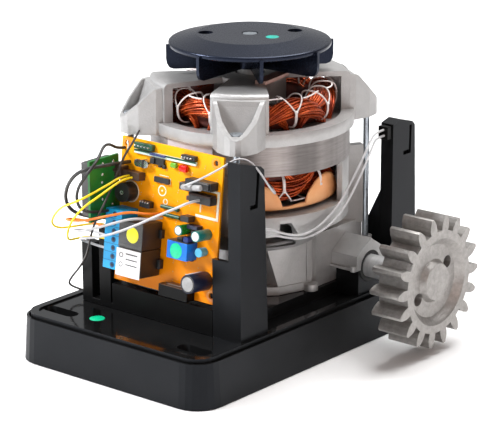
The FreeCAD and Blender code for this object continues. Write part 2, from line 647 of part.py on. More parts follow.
def arm_edge(sx, sy, along, side):
    """A plan point on one edge of a bell arm, at a distance along the arm; the arm widens outwards."""
    half = 9.6 + 0.185 * (along - 18.0)
    point = FreeCAD.Rotation(V(0, 0, 1), bearing_of(sx, sy)).multVec(V(along, side * half, 0))
    return point.x, point.y


def bell_opening(first, second):
    """Opening of the bell between two neighbouring arms, from the sill up through the top."""
    outline = [arm_edge(*first, 18.0, 1), arm_edge(*first, 110.0, 1),
               arm_edge(*second, 110.0, -1), arm_edge(*second, 18.0, -1)]
    return cut(slab(outline, 40.0, (mot(), 0.0, par("sill_z"))), cyl((mot(), 0.0, 130.0), 22.0, 60.0))


def upper_bell():
    """Die-cast bell over the stator: ring, four arms with ears, and the bearing cup in the middle."""
    ring = cyl((mot(), 0.0, par("ring_z")), par("ring_radius"), par("sill_z", -val("ring_z")))
    wall = fillet(cyl((mot(), 0.0, par("ring_z")), 59.0, par("bell_top", -val("ring_z"))), 3.2,
                  lambda e: len(e.Vertexes) == 1 and e.Vertexes[0].Point.z > 150.0)
    stack_seat = cyl((mot(), 0.0, 130.0), par("stator_radius"), par("stack_z", val("stack_height") - 129.9))
    inside = cut(cyl((mot(), 0.0, 130.0), 53.6, 31.4), cyl((mot(), 0.0, 149.0), 21.2, 20.0))
    seat = cyl((mot(), 0.0, 140.0), 17.5, 22.1)
    bore = cyl((mot(), 0.0, 140.0), 9.0, 40.0)
    corners = [(1, -1), (1, 1), (-1, 1), (-1, -1)]
    openings = [bell_opening(here, after) for here, after in zip(corners, corners[1:] + corners[:1])]
    screws = four(lambda sx, sy: cyl((mot(sx * val("tie_x")), sy * val("tie_y"), 130.0), 2.3, 30.0))
    shell = cut(fuse(ring, wall, *four(ear)), inside, stack_seat)
    for opening in openings + [seat, bore] + screws + four(pocket):
        shell = cut(shell, opening)
    part("upper_bell", shell)


def tie_screws():
    """Four long screws that clamp bell, stack and lower housing together."""
    def one(sx, sy):
        at = (mot(sx * val("tie_x")), sy * val("tie_y"))
        rod = cyl((*at, 44.0), par("tie_radius"), 99.2)
        thread = cyl((*at, 44.0), 1.6, 12.0)
        shank = cut(rod, cut(cyl((*at, 40.0), 3.0, 17.2), cyl((*at, 40.0), 1.58, 20.0)))
        head = cyl((*at, 143.1), 3.8, 2.6)
        return fuse(shank, thread, head)
    part("tie_screws", group(*four(one)))


def housing_screws():
    """Four screws that hold the gear case to the base."""
    part("housing_screws", group(*[fuse(cyl((mot(x), y, 14.0), 2.1, CASE_BOTTOM - 8.8),
                                        cyl((mot(x), y, CASE_BOTTOM + 5.1), 4.4, 3.6))
                                   for x, y in CASE_FEET]))


def cover_screws():
    """Five screws of the round side cover."""
    screws = []
    for k in range(5):
        a = math.radians(165.0 + 52.5 * k)
        y, z = 28.0 * math.cos(a), 28.0 * math.sin(a)
        screws.append(cyl((mot(-39.6), out_y(y), out_z(z)), 3.6, 2.5, TURN_TO_X))
    part("cover_screws", group(*screws))


def fan():
    """Plastic fan: a bevelled disc with eight straight blades below and a hub."""
    z = val("fan_z")
    radius = val("fan_radius")
    rim = cyl((mot(), 0.0, par("fan_z")), par("fan_radius"), 2.8)
    bevel = cone((mot(), 0.0, par("fan_z", 2.8)), par("fan_radius"), 31.0, 4.0)
    disc = fillet(fuse(rim, bevel), 1.2,
                  lambda e: len(e.Vertexes) == 1 and abs(e.Curve.Radius - radius) < 0.01)
    under = cone((mot(), 0.0, par("fan_z", -0.01)), radius - 2.0, 30.0, 3.6)
    hub = cyl((mot(), 0.0, 168.0), 11.0, z - 168.0 + 5.0)
    blade = [(10.0, 167.6), (45.0, 167.6), (47.6, 168.6), (49.0, 171.0), (49.4, 173.6), (49.4, z + 1.6),
             (43.5, z + 1.6), (43.5, z + 3.5), (10.0, z + 3.5)]
    blades = [upright(blade, 2.0, -42.5 + 45.0 * k) for k in range(8)]
    bore = cyl((mot(), 0.0, 160.0), 6.0, 24.6)
    screw_bore = fuse(cyl((mot(), 0.0, 180.0), 1.9, 20.0), cyl((mot(), 0.0, par("fan_z", 4.7)), 4.9, 10.0))
    holes = [cyl((mot(x), y, 178.0), 4.4, 20.0) for x, y in ((-21.0, -15.3), (16.4, 21.7))]
    part("fan", cut(fuse(cut(disc, under), hub, *blades), bore, screw_bore, *holes))


def fan_screw():
    shank = cyl((mot(), 0.0, 176.0), 1.6, 10.0)
    head = cyl((mot(), 0.0, par("fan_z", 4.75)), 4.2, 1.8)
    part("fan_screw", fuse(shank, head))


def thermal_switch():
    """Flat cut-out that lies across the bell's hub and the edge of its front arm."""
    turn = FreeCAD.Rotation(V(0, 0, 1), 99.0)
    part("thermal_switch", box((mot(29.4), -21.2, par("bell_top", 0.05)), (27.0, 7.5, 2.3), turn))


def motor_plate():
    """Thin bare rating plate on the laminations."""
    ring = cyl((mot(), 0.0, 126.4), 59.45, 7.7, FreeCAD.Rotation(V(0, 0, 1), -103.5), 32.0)
    part("motor_plate", cut(ring, cyl((mot(), 0.0, 119.0), 59.05, 20.0)))


# ---------------------------------------------------------------- control board

def lean():
    return FreeCAD.Rotation(V(1, 0, 0), 90.0 - val("board_lean"))


def on_board(u, v, w=0.0):
    """A place on the board: u from its left edge, v up from its lower edge, w out of its face."""
    return lean().multVec(V(u, v, w)) + V(val("board_left"), val("board_y"), val("board_z"))


def block(u, v, w, width, height, depth):
    """A block on the board face, w above it."""
    return box(tuple(on_board(u, v, w)), (width, height, depth), lean())


def can(u, v, w, radius, depth):
    """A round can that stands on the board face."""
    return cyl(tuple(on_board(u, v, w)), radius, depth, lean())


def main_board():
    plate = box(tuple(on_board(0.0, 0.0, -val("board_thickness"))),
                (par("board_width"), par("board_height"), par("board_thickness")), lean())
    holes = [can(u, v, -3.0, 1.7, 6.0) for u, v in ((72.0, 81.6), (75.0, 5.0), (4.0, 82.0), (4.0, 4.0))]
    part("main_board", cut(plate, *holes))


def board_parts():
    """Everything soldered to the face of the board, each piece a little clear of the next."""
    face = 0.02
    part("terminal_block", block(3.2, 9.5, face, 12.6, 35.5, 14.0))
    part("open_relay", block(17.0, 25.2, face, 18.2, 15.6, 17.0))
    part("close_relay", block(17.0, 9.0, face, 18.2, 15.9, 17.0))
    part("lamp_relay", block(47.2, 23.6, face, 15.2, 10.2, 9.0))
    part("buzzer", can(9.2, 54.2, face, 5.6, 8.0))
    part("crystal", fuse(block(15.5, 70.4, face, 6.5, 4.4, 3.6), can(15.5, 72.6, face, 2.2, 3.6),
                         can(22.0, 72.6, face, 2.2, 3.6)))
    part("chips", group(block(27.5, 63.4, face, 11.5, 3.2, 1.6), block(24.6, 73.6, face, 9.6, 3.6, 1.6)))
    part("edge_strip", block(11.0, 77.6, face, 47.5, 2.4, 1.6))
    part("pin_headers", group(block(12.0, 81.0, face, 13.5, 3.2, 3.0),
                              block(48.0, 80.6, face, 10.5, 2.6, 3.0),
                              block(19.6, 47.4, face, 8.0, 3.8, 4.0)))
    leds = []
    for u, v in ((41.6, 75.3), (49.4, 74.9)):
        leds.append(fuse(can(u, v, face, 1.9, 4.0), cone(tuple(on_board(u, v, 4.0)), 1.9, 0.8, 1.8, lean())))
    part("status_leds", group(*leds))
    part("aerial_connector", block(6.4, 62.4, face, 13.4, 4.6, 6.0))
    part("motor_connector", block(55.6, 66.0, face, 19.4, 5.0, 7.0))
    part("limit_connector", block(58.6, 57.8, face, 16.0, 4.0, 6.0))
    part("diodes", group(cyl(tuple(on_board(34.5, 50.2, 1.3)), 1.2, 13.0, lean() * TURN_TO_X),
                         cyl(tuple(on_board(37.0, 45.8, 1.3)), 1.2, 12.0, lean() * TURN_TO_X)))
    part("transistor", block(53.0, 45.4, face, 6.4, 3.4, 6.0))
    part("thermistor", block(57.5, 41.9, face, 8.0, 2.2, 5.0))
    part("small_capacitors", group(can(54.9, 40.5, face, 2.9, 9.0), can(69.6, 40.0, face, 3.2, 11.0)))
    part("varistor", can(68.0, 29.6, face, 2.6, 5.5))
    part("main_capacitor", can(70.2, 13.0, face, 5.4, 15.5))
    part("fuse_holder", block(41.0, -0.4, face, 22.0, 6.6, 7.0))


def receiver():
    """Radio board that stands across the left edge of the control board, with its screening can."""
    board = box((par("board_left", 0.4), -94.6, 85.6), (1.6, 24.8, 36.6))
    screen = box((par("board_left", -5.8), -93.4, 88.6), (6.0, 22.0, 32.0))
    part("receiver_board", board)
    part("receiver_can", screen)


def limit_sensor():
    """Reed sensor on the side of the rear cover post."""
    part("limit_sensor", box((58.6, 62.0, 118.6), (7.0, 3.9, 8.0)))


# ---------------------------------------------------------------- cords

def tube(points, radius):
    """A round cord along straight runs joined by tangent arcs; prints its bend radii."""
    pts = [V(*p) for p in points]
    edges, radii = [], []
    start = pts[0]
    length = 0.0
    for before, here, after in zip(pts, pts[1:], pts[2:]):
        a, b = before - here, after - here
        run = min(a.Length, b.Length)
        ua, ub = a / a.Length, b / b.Length
        turn = math.pi - math.acos(max(-1.0, min(1.0, ua.dot(ub))))
        bend = 0.45 * run / math.tan(turn / 2)
        back = 0.45 * run
        first, last = here + ua * back, here + ub * back
        middle_way = (ua + ub) / (ua + ub).Length
        centre = here + middle_way * (bend / math.cos(turn / 2))
        mid = centre - middle_way * bend
        edges.append(Part.LineSegment(start, first).toShape())
        edges.append(Part.Arc(first, mid, last).toShape())
        length += (first - start).Length + bend * turn
        radii.append(bend)
        start = last
    edges.append(Part.LineSegment(start, pts[-1]).toShape())
    length += (pts[-1] - start).Length
    path = Part.Wire(edges)
    direction = (pts[1] - pts[0]) / (pts[1] - pts[0]).Length
    profile = Part.Wire([Part.Circle(pts[0], direction, radius).toShape()])
    solid = path.makePipeShell([profile], True, False)
    ratio = solid.Volume / (math.pi * radius ** 2 * length)
    print("cord radii", [round(r, 1) for r in radii], "of diameter", 2 * radius, "volume ratio",
          round(ratio, 3))
    return solid


def cord(label, runs, radius):
    """A cord node; several runs become separate solids in it."""
    solids = [tube(points, radius) for points in runs]
    obj = doc.addObject("Part::Feature", "Cord")
    obj.Shape = solids[0] if len(solids) == 1 else Part.makeCompound(solids)
    part(label, obj)


def straight_out(u, v, w, run):
    """First two points of a cord that leaves the board or a connector square to the board face."""
    return [on_board(u, v, w), on_board(u, v, w + run)]


def into_block(v, w):
    """Last two points of a cord that enters the left face of the terminal block."""
    return [on_board(-3.6, v, w), on_board(3.15, v, w)]


def cords():
    """Loose leads of the board, each from where it is soldered or plugged to where it ends."""
    cord("loop_cable", [straight_out(6.9, 71.4, 0.05, 10.0) + [
        (-25.5, -88.0, 119.6), (-27.5, -98.5, 120.2), (-36.5, -101.0, 115.5), (-48.0, -96.5, 104.5),
        (-55.0, -90.5, 93.5), (-54.5, -85.5, 86.0), (-46.5, -80.5, 83.2)] + into_block(36.5, 4.5)], 1.1)
    cord("aerial_cable", [straight_out(2.4, 79.0, 0.05, 6.5) + [
        (-30.9, -77.5, 129.6), (-29.0, -84.5, 130.0), (-25.5, -91.5, 126.5), (-22.5, -99.5, 123.0),
        (-24.8, -104.5, 117.0), (-31.0, -104.5, 109.0), (-34.5, -102.5, 101.0), (-32.6, -101.0, 94.8),
        on_board(4.9, 43.4, 26.5), on_board(4.9, 43.4, 14.05)]], 0.9)
    cord("earth_lead", [[(-19.07, -64.9, 136.5), (-15.0, -70.9, 136.5), (-17.0, -74.2, 130.2),
                         (-21.4, -74.8, 124.0), (-23.3, -77.0, 117.5), (-24.3, -80.5, 110.0),
                         (-24.0, -86.5, 102.0), (-25.0, -91.5, 94.5), (-29.2, -92.5, 86.5),
                         (-33.5, -91.5, 78.5), (-37.2, -90.0, 69.5), (-43.5, -86.0, 60.5),
                         (-54.0, -81.5, 50.0), (-62.5, -79.0, 42.5), (-67.3, -77.6, 36.4),
                         (-62.9, -72.7, 33.0), (-56.55, -72.6, 33.0)]], 0.65)
    cord("yellow_wires", [straight_out(12.4, 64.7, 6.05, 7.0) + [
        (-21.2, -88.5, 109.6), (-22.5, -98.0, 107.2), (-25.6, -106.0, 104.0), (-34.5, -107.0, 99.6),
        (-46.0, -103.0, 94.4), (-56.0, -99.0, 87.0), (-61.8, -96.0, 79.8), (-61.5, -90.5, 75.6),
        (-57.0, -83.0, 75.6), (-50.5, -76.5, 77.0), (-42.5, -74.4, 78.4)] + into_block(31.8, 4.5),
        straight_out(14.6, 63.9, 6.05, 7.0) + [
        (-19.4, -90.5, 107.6), (-19.7, -101.0, 104.4), (-23.6, -108.5, 99.6), (-31.0, -108.5, 92.0),
        (-38.5, -105.5, 83.6), (-44.0, -101.0, 76.0), (-48.5, -94.5, 71.8), (-50.5, -87.0, 70.6),
        (-46.5, -81.2, 71.2)] + into_block(25.0, 8.0)], 0.65)
    cord("motor_wires", [straight_out(33.4, 45.6, 0.05, 9.0) + [
        (-6.5, -87.0, 95.4), (-17.0, -93.5, 92.6), (-31.0, -97.5, 88.0), (-44.0, -95.5, 84.6),
        (-54.0, -91.4, 82.6), (-58.6, -84.6, 80.8), (-53.4, -79.0, 79.8), (-43.0, -79.0, 79.6)]
        + into_block(32.5, 10.0),
        straight_out(34.4, 43.0, 0.05, 10.5) + [
        (-1.0, -90.5, 93.4), (-10.0, -97.5, 90.4), (-22.0, -100.5, 85.6), (-35.0, -99.5, 81.0),
        (-45.0, -95.5, 78.4), (-49.0, -88.5, 76.6), (-46.0, -82.0, 75.4), (-40.0, -80.2, 75.0)]
        + into_block(27.5, 10.0),
        straight_out(66.4, 59.8, 6.05, 7.8) + [
        (27.0, -82.5, 103.6), (15.0, -88.0, 97.4), (4.0, -93.0, 91.0), (-8.0, -98.5, 85.0),
        (-21.0, -100.5, 80.4), (-33.0, -98.0, 77.0), (-42.0, -93.0, 73.6), (-45.0, -86.5, 70.4),
        (-40.5, -82.4, 68.0)] + into_block(20.0, 10.0)], 0.75)
    cord("sensor_cable", [[(62.5, -53.84, 89.5), (62.5, -47.5, 89.7), (66.5, -38.0, 84.5),
                           (70.5, -25.0, 81.0), (72.0, -10.0, 84.2), (72.0, 6.0, 92.0), (71.5, 19.5, 104.0),
                           (70.0, 32.0, 115.0), (66.5, 44.0, 122.4), (62.6, 53.5, 124.6),
                           (62.6, 61.95, 124.6)],
                          [(60.5, -53.78, 87.0), (60.5, -47.5, 87.2), (64.5, -37.0, 82.0),
                           (69.5, -23.5, 78.4), (74.0, -8.0, 81.6), (74.0, 9.0, 90.0), (73.0, 22.0, 101.6),
                           (71.0, 34.0, 112.2), (67.0, 45.5, 118.8), (63.0, 54.0, 121.2),
                           (63.0, 61.95, 121.2)]], 0.7)


# ---------------------------------------------------------------- build and export

for step in (base, board_bracket, lower_housing, side_cover, output_housing, shaft_seal, bearings,
             worm_wheel, output_shaft, keys, pinion_gear, rotor_shaft, rotor, stator_core, windings,
             upper_bell, tie_screws, housing_screws, cover_screws, fan, fan_screw, thermal_switch,
             motor_plate, main_board, board_parts, receiver, limit_sensor, cords):
    step()
doc.recompute()
for obj in doc.Objects:
    if "Invalid" in obj.State or "Error" in obj.State:
        raise RuntimeError(f"{obj.Name} {obj.Label} failed: {obj.State}")
for obj in PARTS:
    if obj.Shape.isNull() or not obj.Shape.isValid() or not obj.Shape.Solids:
        raise RuntimeError(f"{obj.Label} has no valid solid")
os.makedirs("parts", exist_ok=True)
for obj in PARTS:
    obj.Shape.exportStep(f"parts/{obj.Label}.step")
    print(obj.Label, len(obj.Shape.Solids), round(obj.Shape.Volume))
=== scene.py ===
import json
import math

import bpy
import numpy as np
from mathutils import Matrix, Vector


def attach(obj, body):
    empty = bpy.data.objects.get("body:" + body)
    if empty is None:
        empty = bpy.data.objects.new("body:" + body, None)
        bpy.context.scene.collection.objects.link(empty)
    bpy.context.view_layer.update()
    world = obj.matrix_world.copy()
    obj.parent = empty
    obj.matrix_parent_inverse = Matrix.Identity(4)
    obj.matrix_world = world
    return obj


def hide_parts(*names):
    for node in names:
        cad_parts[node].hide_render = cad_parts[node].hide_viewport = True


# Sliding gate motor without its cover.  The scene is in metres, +Z up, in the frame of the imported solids.
# Sizes and places below are in millimetres, and in degrees where a name says so.

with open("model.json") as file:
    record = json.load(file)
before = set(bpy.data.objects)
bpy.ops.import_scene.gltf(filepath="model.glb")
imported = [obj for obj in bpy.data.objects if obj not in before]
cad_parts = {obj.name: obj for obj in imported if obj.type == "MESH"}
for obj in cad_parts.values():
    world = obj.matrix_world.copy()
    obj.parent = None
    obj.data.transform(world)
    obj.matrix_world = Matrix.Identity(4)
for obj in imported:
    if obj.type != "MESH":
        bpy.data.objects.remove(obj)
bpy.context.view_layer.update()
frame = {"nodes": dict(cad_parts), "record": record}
NODES = frame["nodes"]
MM = 0.001
MOTOR_X = 10.5                          # X of the upright motor axis
BOARD_CORNER = (-32.9, -74.0, 46.3)     # lower left corner of the board's face
BOARD_LEAN = 6.7                        # degrees by which the board leans back
DECK_TOP = 28.2                         # top of the base's deck
FAN_TOP = 187.4                         # flat top of the fan
SKIN = 0.02                             # gap under a thin piece, which must not share a plane with its ground
CRISP = 40.0                            # degrees: an edge that turns by more than this is a crisp one


# ------------------------------------------------------------------ shapes: (points, faces) pairs in mm

def grid_faces(rows, cols, wrap_rows=False, wrap_cols=False):
    """Quads between neighbouring points of a rows x cols grid, joined round where it wraps."""
    r = np.arange(rows if wrap_rows else rows - 1)
    c = np.arange(cols if wrap_cols else cols - 1)
    r, c = [a.ravel() for a in np.meshgrid(r, c, indexing="ij")]
    r2, c2 = (r + 1) % rows, (c + 1) % cols
    return np.stack([r * cols + c, r * cols + c2, r2 * cols + c2, r2 * cols + c], 1)


def capped_faces(rows, cols):
    """Quads of a grid whose columns go round, with a flat cap on its first row and on its last."""
    faces = list(grid_faces(rows, cols, wrap_cols=True))
    faces.append(np.arange(cols)[::-1])
    faces.append(np.arange(cols) + (rows - 1) * cols)
    return faces


def join(shapes):
    """Several shapes as one."""
    points, faces, start = [], [], 0
    for shape_points, shape_faces in shapes:
        points.append(shape_points)
        faces.extend(np.asarray(face) + start for face in shape_faces)
        start += len(shape_points)
    return np.vstack(points), faces


def moved(shape, at, turn=None):
    """The same shape turned by a 3 x 3 matrix and then moved."""
    points, faces = shape
    if turn is not None:
        points = points @ turn.T
    return points + np.asarray(at, float), faces


def about(axis, degrees):
    """Rotation matrix about an axis."""
    return np.array(Matrix.Rotation(math.radians(degrees), 3, axis))


def soft_box(low, high, edge, steps=3):
    """A box with rounded edges: a sphere of the edge radius whose octants are pulled apart to the corners."""
    low, high = np.asarray(low, float), np.asarray(high, float)
    half, centre = (high - low) / 2, (high + low) / 2
    edge = min(edge, *(half * 0.98))
    quarter = np.linspace(0, math.pi / 2, steps + 1)
    around = np.concatenate([quarter + k * math.pi / 2 for k in range(4)])
    side_x = np.repeat([1, -1, -1, 1], steps + 1)
    side_y = np.repeat([1, 1, -1, -1], steps + 1)
    rise = np.concatenate([-quarter[::-1], quarter])
    side_z = np.repeat([-1, 1], steps + 1)
    ring = np.cos(rise)[:, None]
    x = edge * ring * np.cos(around) + (half[0] - edge) * side_x
    y = edge * ring * np.sin(around) + (half[1] - edge) * side_y
    z = (edge * np.sin(rise) + (half[2] - edge) * side_z)[:, None] + 0 * x
    points = np.stack([x, y, z], -1).reshape(-1, 3) + centre
    return points, capped_faces(*x.shape)


def lathe(profile, segments, closed=False):
    """A profile of (radius, height) points turned about Z; an open profile gets a cap at each end."""
    profile = np.asarray(profile, float)
    a = np.linspace(0, 2 * math.pi, segments, endpoint=False)
    r, z = profile[:, 0][:, None], profile[:, 1][:, None]
    points = np.stack([r * np.cos(a), r * np.sin(a), z + 0 * a], -1).reshape(-1, 3)
    if closed:
        return points, grid_faces(len(profile), segments, wrap_rows=True, wrap_cols=True)
    return points, capped_faces(len(profile), segments)


def disc(radius, thick):
    """A flat round piece with its foot at height 0 and its upper edge rounded off by two chamfers."""
    soft = 0.15
    return lathe([(radius, 0.0), (radius, thick - soft), (radius - soft * 0.4, thick - soft * 0.3),
                  (radius - soft, thick)], 40)


def flat_ring(inner, outer, thick):
    """A flat ring from height 0 up."""
    return lathe([(inner, 0.0), (outer, 0.0), (outer, thick), (inner, thick)], 40, closed=True)


def sweep(path, radius, sides):
    """A round tube along a path: at each point a circle in the plane square to the path, which keeps its
    direction as far as the path lets it."""
    ahead = np.empty_like(path)
    ahead[1:-1] = path[2:] - path[:-2]
    ahead[0], ahead[-1] = path[1] - path[0], path[-1] - path[-2]
    ahead /= np.linalg.norm(ahead, axis=1)[:, None]
    side = np.zeros_like(ahead)
    helper = np.array([0.0, 0.0, 1.0]) if abs(ahead[0][2]) < 0.9 else np.array([1.0, 0.0, 0.0])
    current = np.cross(ahead[0], helper)
    for i, direction in enumerate(ahead):
        current = current - direction * (current @ direction)
        current /= np.linalg.norm(current)
        side[i] = current
    other = np.cross(ahead, side)
    a = np.linspace(0, 2 * math.pi, sides, endpoint=False)
    ring = np.cos(a)[None, :, None] * side[:, None] + np.sin(a)[None, :, None] * other[:, None]
    points = (path[:, None] + radius * ring).reshape(-1, 3)
    return points, capped_faces(len(path), sides)


# ------------------------------------------------------------------ finishes

MIX_A, MIX_B, MIX_RESULT = 6, 7, 2      # the colour sockets of a mix node


def new_material(name):
    """A material, its node tree and its surface shader."""
    material = bpy.data.materials.new(name)
    material.use_nodes = True
    tree = material.node_tree
    return material, tree, tree.nodes["Principled BSDF"]


def grey(value, warm=0.0):
    """A grey; warm adds this share of it to red and takes the same from blue."""
    return (value * (1 + warm), value, value * (1 - warm))


def noise(tree, scale, detail=3.0, rough=0.5, stretch=(1, 1, 1)):
    """Noise on Object coordinates; scale is in features per metre, stretch squeezes it along an axis."""
    place = tree.nodes.new("ShaderNodeTexCoord")
    mapping = tree.nodes.new("ShaderNodeMapping")
    mapping.inputs["Scale"].default_value = stretch
    texture = tree.nodes.new("ShaderNodeTexNoise")
    texture.inputs["Scale"].default_value = scale
    texture.inputs["Detail"].default_value = detail
    texture.inputs["Roughness"].default_value = rough
    tree.links.new(place.outputs["Object"], mapping.inputs["Vector"])
    tree.links.new(mapping.outputs["Vector"], texture.inputs["Vector"])
    return texture.outputs["Fac"]


def axes(tree, node_type, socket):
    """The X, Y and Z outputs of a vector that a new node of this type gives."""
    source = tree.nodes.new(node_type)
    split = tree.nodes.new("ShaderNodeSeparateXYZ")
    tree.links.new(source.outputs[socket], split.inputs["Vector"])
    return split.outputs


def ramp(tree, source, stops):
    """A colour ramp fed by a socket; each stop is (place, colour)."""
    node = tree.nodes.new("ShaderNodeValToRGB")
    elements = node.color_ramp.elements
    while len(elements) < len(stops):
        elements.new(0.5)
    for element, (place, colour) in zip(elements, stops):
        element.position = place
        element.color = (*colour, 1.0)
    tree.links.new(source, node.inputs["Fac"])
    return node.outputs["Color"]


def drift(tree, source, first, last, span=(0.3, 0.7)):
    """A colour that goes from the first to the last while the source goes through the span."""
    return ramp(tree, source, [(span[0], first), (span[1], last)])


def maths(tree, operation, *terms):
    """A maths node; each term is a number or a socket."""
    node = tree.nodes.new("ShaderNodeMath")
    node.operation = operation
    for entry, term in zip(node.inputs, terms):
        if isinstance(term, float):
            entry.default_value = term
        else:
            tree.links.new(term, entry)
    return node.outputs["Value"]


def product(tree, first, second):
    """One colour socket times another."""
    mix = tree.nodes.new("ShaderNodeMix")
    mix.data_type, mix.blend_type = "RGBA", "MULTIPLY"
    mix.inputs["Factor"].default_value = 1.0
    tree.links.new(first, mix.inputs[MIX_A])
    tree.links.new(second, mix.inputs[MIX_B])
    return mix.outputs[MIX_RESULT]


def bumps(tree, shader, layers):
    """Stacks bump nodes: each layer is (height socket, strength, distance in metres)."""
    last = None
    for height, strength, distance in layers:
        node = tree.nodes.new("ShaderNodeBump")
        node.inputs["Strength"].default_value = strength
        node.inputs["Distance"].default_value = distance
        tree.links.new(height, node.inputs["Height"])
        if last is not None:
            tree.links.new(last.outputs["Normal"], node.inputs["Normal"])
        last = node
    tree.links.new(last.outputs["Normal"], shader.inputs["Normal"])


def finish_of(name, dark, light, rough, metal=0.0, patch=60.0, grain=1500.0, bump=0.15, depth=0.0001,
              specular=0.5, stretch=(1, 1, 1), tint=(1, 1, 1)):
    """A surface whose colour drifts between two tones in patches, with a fine grain in gloss and relief."""
    material, tree, shader = new_material(name)
    colour = drift(tree, noise(tree, patch, detail=4.0, rough=0.6, stretch=stretch), dark, light)
    tree.links.new(colour, shader.inputs["Base Color"])
    fine = noise(tree, grain, rough=0.6, stretch=stretch)
    tree.links.new(drift(tree, fine, grey(rough[0]), grey(rough[1])), shader.inputs["Roughness"])
    shader.inputs["Metallic"].default_value = metal
    shader.inputs["Specular IOR Level"].default_value = specular
    shader.inputs["Specular Tint"].default_value = (*tint, 1.0)
    bumps(tree, shader, [(fine, bump, depth)])
    return material


def laminations():
    """Stacked sheet steel: thin level lines, a sine of the height that repeats with each sheet, and upright
    bands of lighter and darker tone, which are painted reflections."""
    sheet = 0.55
    material, tree, shader = new_material("laminations")
    height = axes(tree, "ShaderNodeTexCoord", "Object")["Z"]
    lines = maths(tree, "SINE", maths(tree, "MULTIPLY", height, 2 * math.pi / (sheet * MM)))
    level = noise(tree, 900.0, detail=4.0, rough=0.7, stretch=(0.06, 0.06, 1.0))
    upright = noise(tree, 55.0, detail=2.0, stretch=(1.0, 1.0, 0.04))
    colour = drift(tree, level, (0.25, 0.228, 0.22), (0.37, 0.345, 0.335))
    # painted reflections: upright bands that lighten and darken the steel's colour
    painted_reflection_bands = drift(tree, upright, grey(0.58), grey(1.2), (0.38, 0.62))
    tree.links.new(product(tree, colour, painted_reflection_bands), shader.inputs["Base Color"])
    shader.inputs["Metallic"].default_value = 0.6
    shader.inputs["Roughness"].default_value = 0.42
    bumps(tree, shader, [(lines, 0.35, 0.00012), (level, 0.2, 0.0001)])
    return material


def base_moulding():
    """Black moulding: almost a mirror where it faces up, as the deck does, and grained satin elsewhere,
    with a painted blue sheen in its reflections.
    """
    faces_up = (0.55, 0.9)      # Z of the normal between which satin turns to gloss
    material, tree, shader = new_material("base_moulding")
    tree.links.new(drift(tree, noise(tree, 40.0), grey(0.004), grey(0.007)), shader.inputs["Base Color"])
    up = axes(tree, "ShaderNodeNewGeometry", "Normal")["Z"]
    tree.links.new(drift(tree, up, grey(0.40), grey(0.11), faces_up), shader.inputs["Roughness"])
    tree.links.new(drift(tree, up, grey(0.17), grey(0.5), faces_up), shader.inputs["Specular IOR Level"])
    # painted sheen: the reflections are tinted blue
    shader.inputs["Specular Tint"].default_value = (0.78, 0.86, 1.0, 1.0)
    fine = noise(tree, 2200.0, rough=0.6)
    relief = maths(tree, "MULTIPLY", fine, drift(tree, up, grey(1.0), grey(0.0), faces_up))
    bumps(tree, shader, [(relief, 0.12, 0.0001)])
    return material


def board_lacquer():
    """Board lacquer: orange at the lower edge that turns to amber at the upper one, with faint clouds."""
    material, tree, shader = new_material("board_lacquer")
    height = axes(tree, "ShaderNodeTexCoord", "Object")["Z"]
    share = maths(tree, "MULTIPLY_ADD", height, 10.0, -0.4)     # 0 at a height of 40 mm, 1 at 140 mm
    tone = ramp(tree, share, [(0.1, (0.95, 0.27, 0.0)), (0.6, (0.98, 0.33, 0.0)), (0.9, (1.0, 0.44, 0.003))])
    cloud = drift(tree, noise(tree, 45.0, detail=4.0, rough=0.6), grey(0.88), grey(1.0))
    tree.links.new(product(tree, tone, cloud), shader.inputs["Base Color"])
    fine = noise(tree, 700.0)
    tree.links.new(drift(tree, fine, grey(0.34), grey(0.46)), shader.inputs["Roughness"])
    shader.inputs["Specular IOR Level"].default_value = 0.16
    bumps(tree, shader, [(fine, 0.1, 0.0001)])
    return material


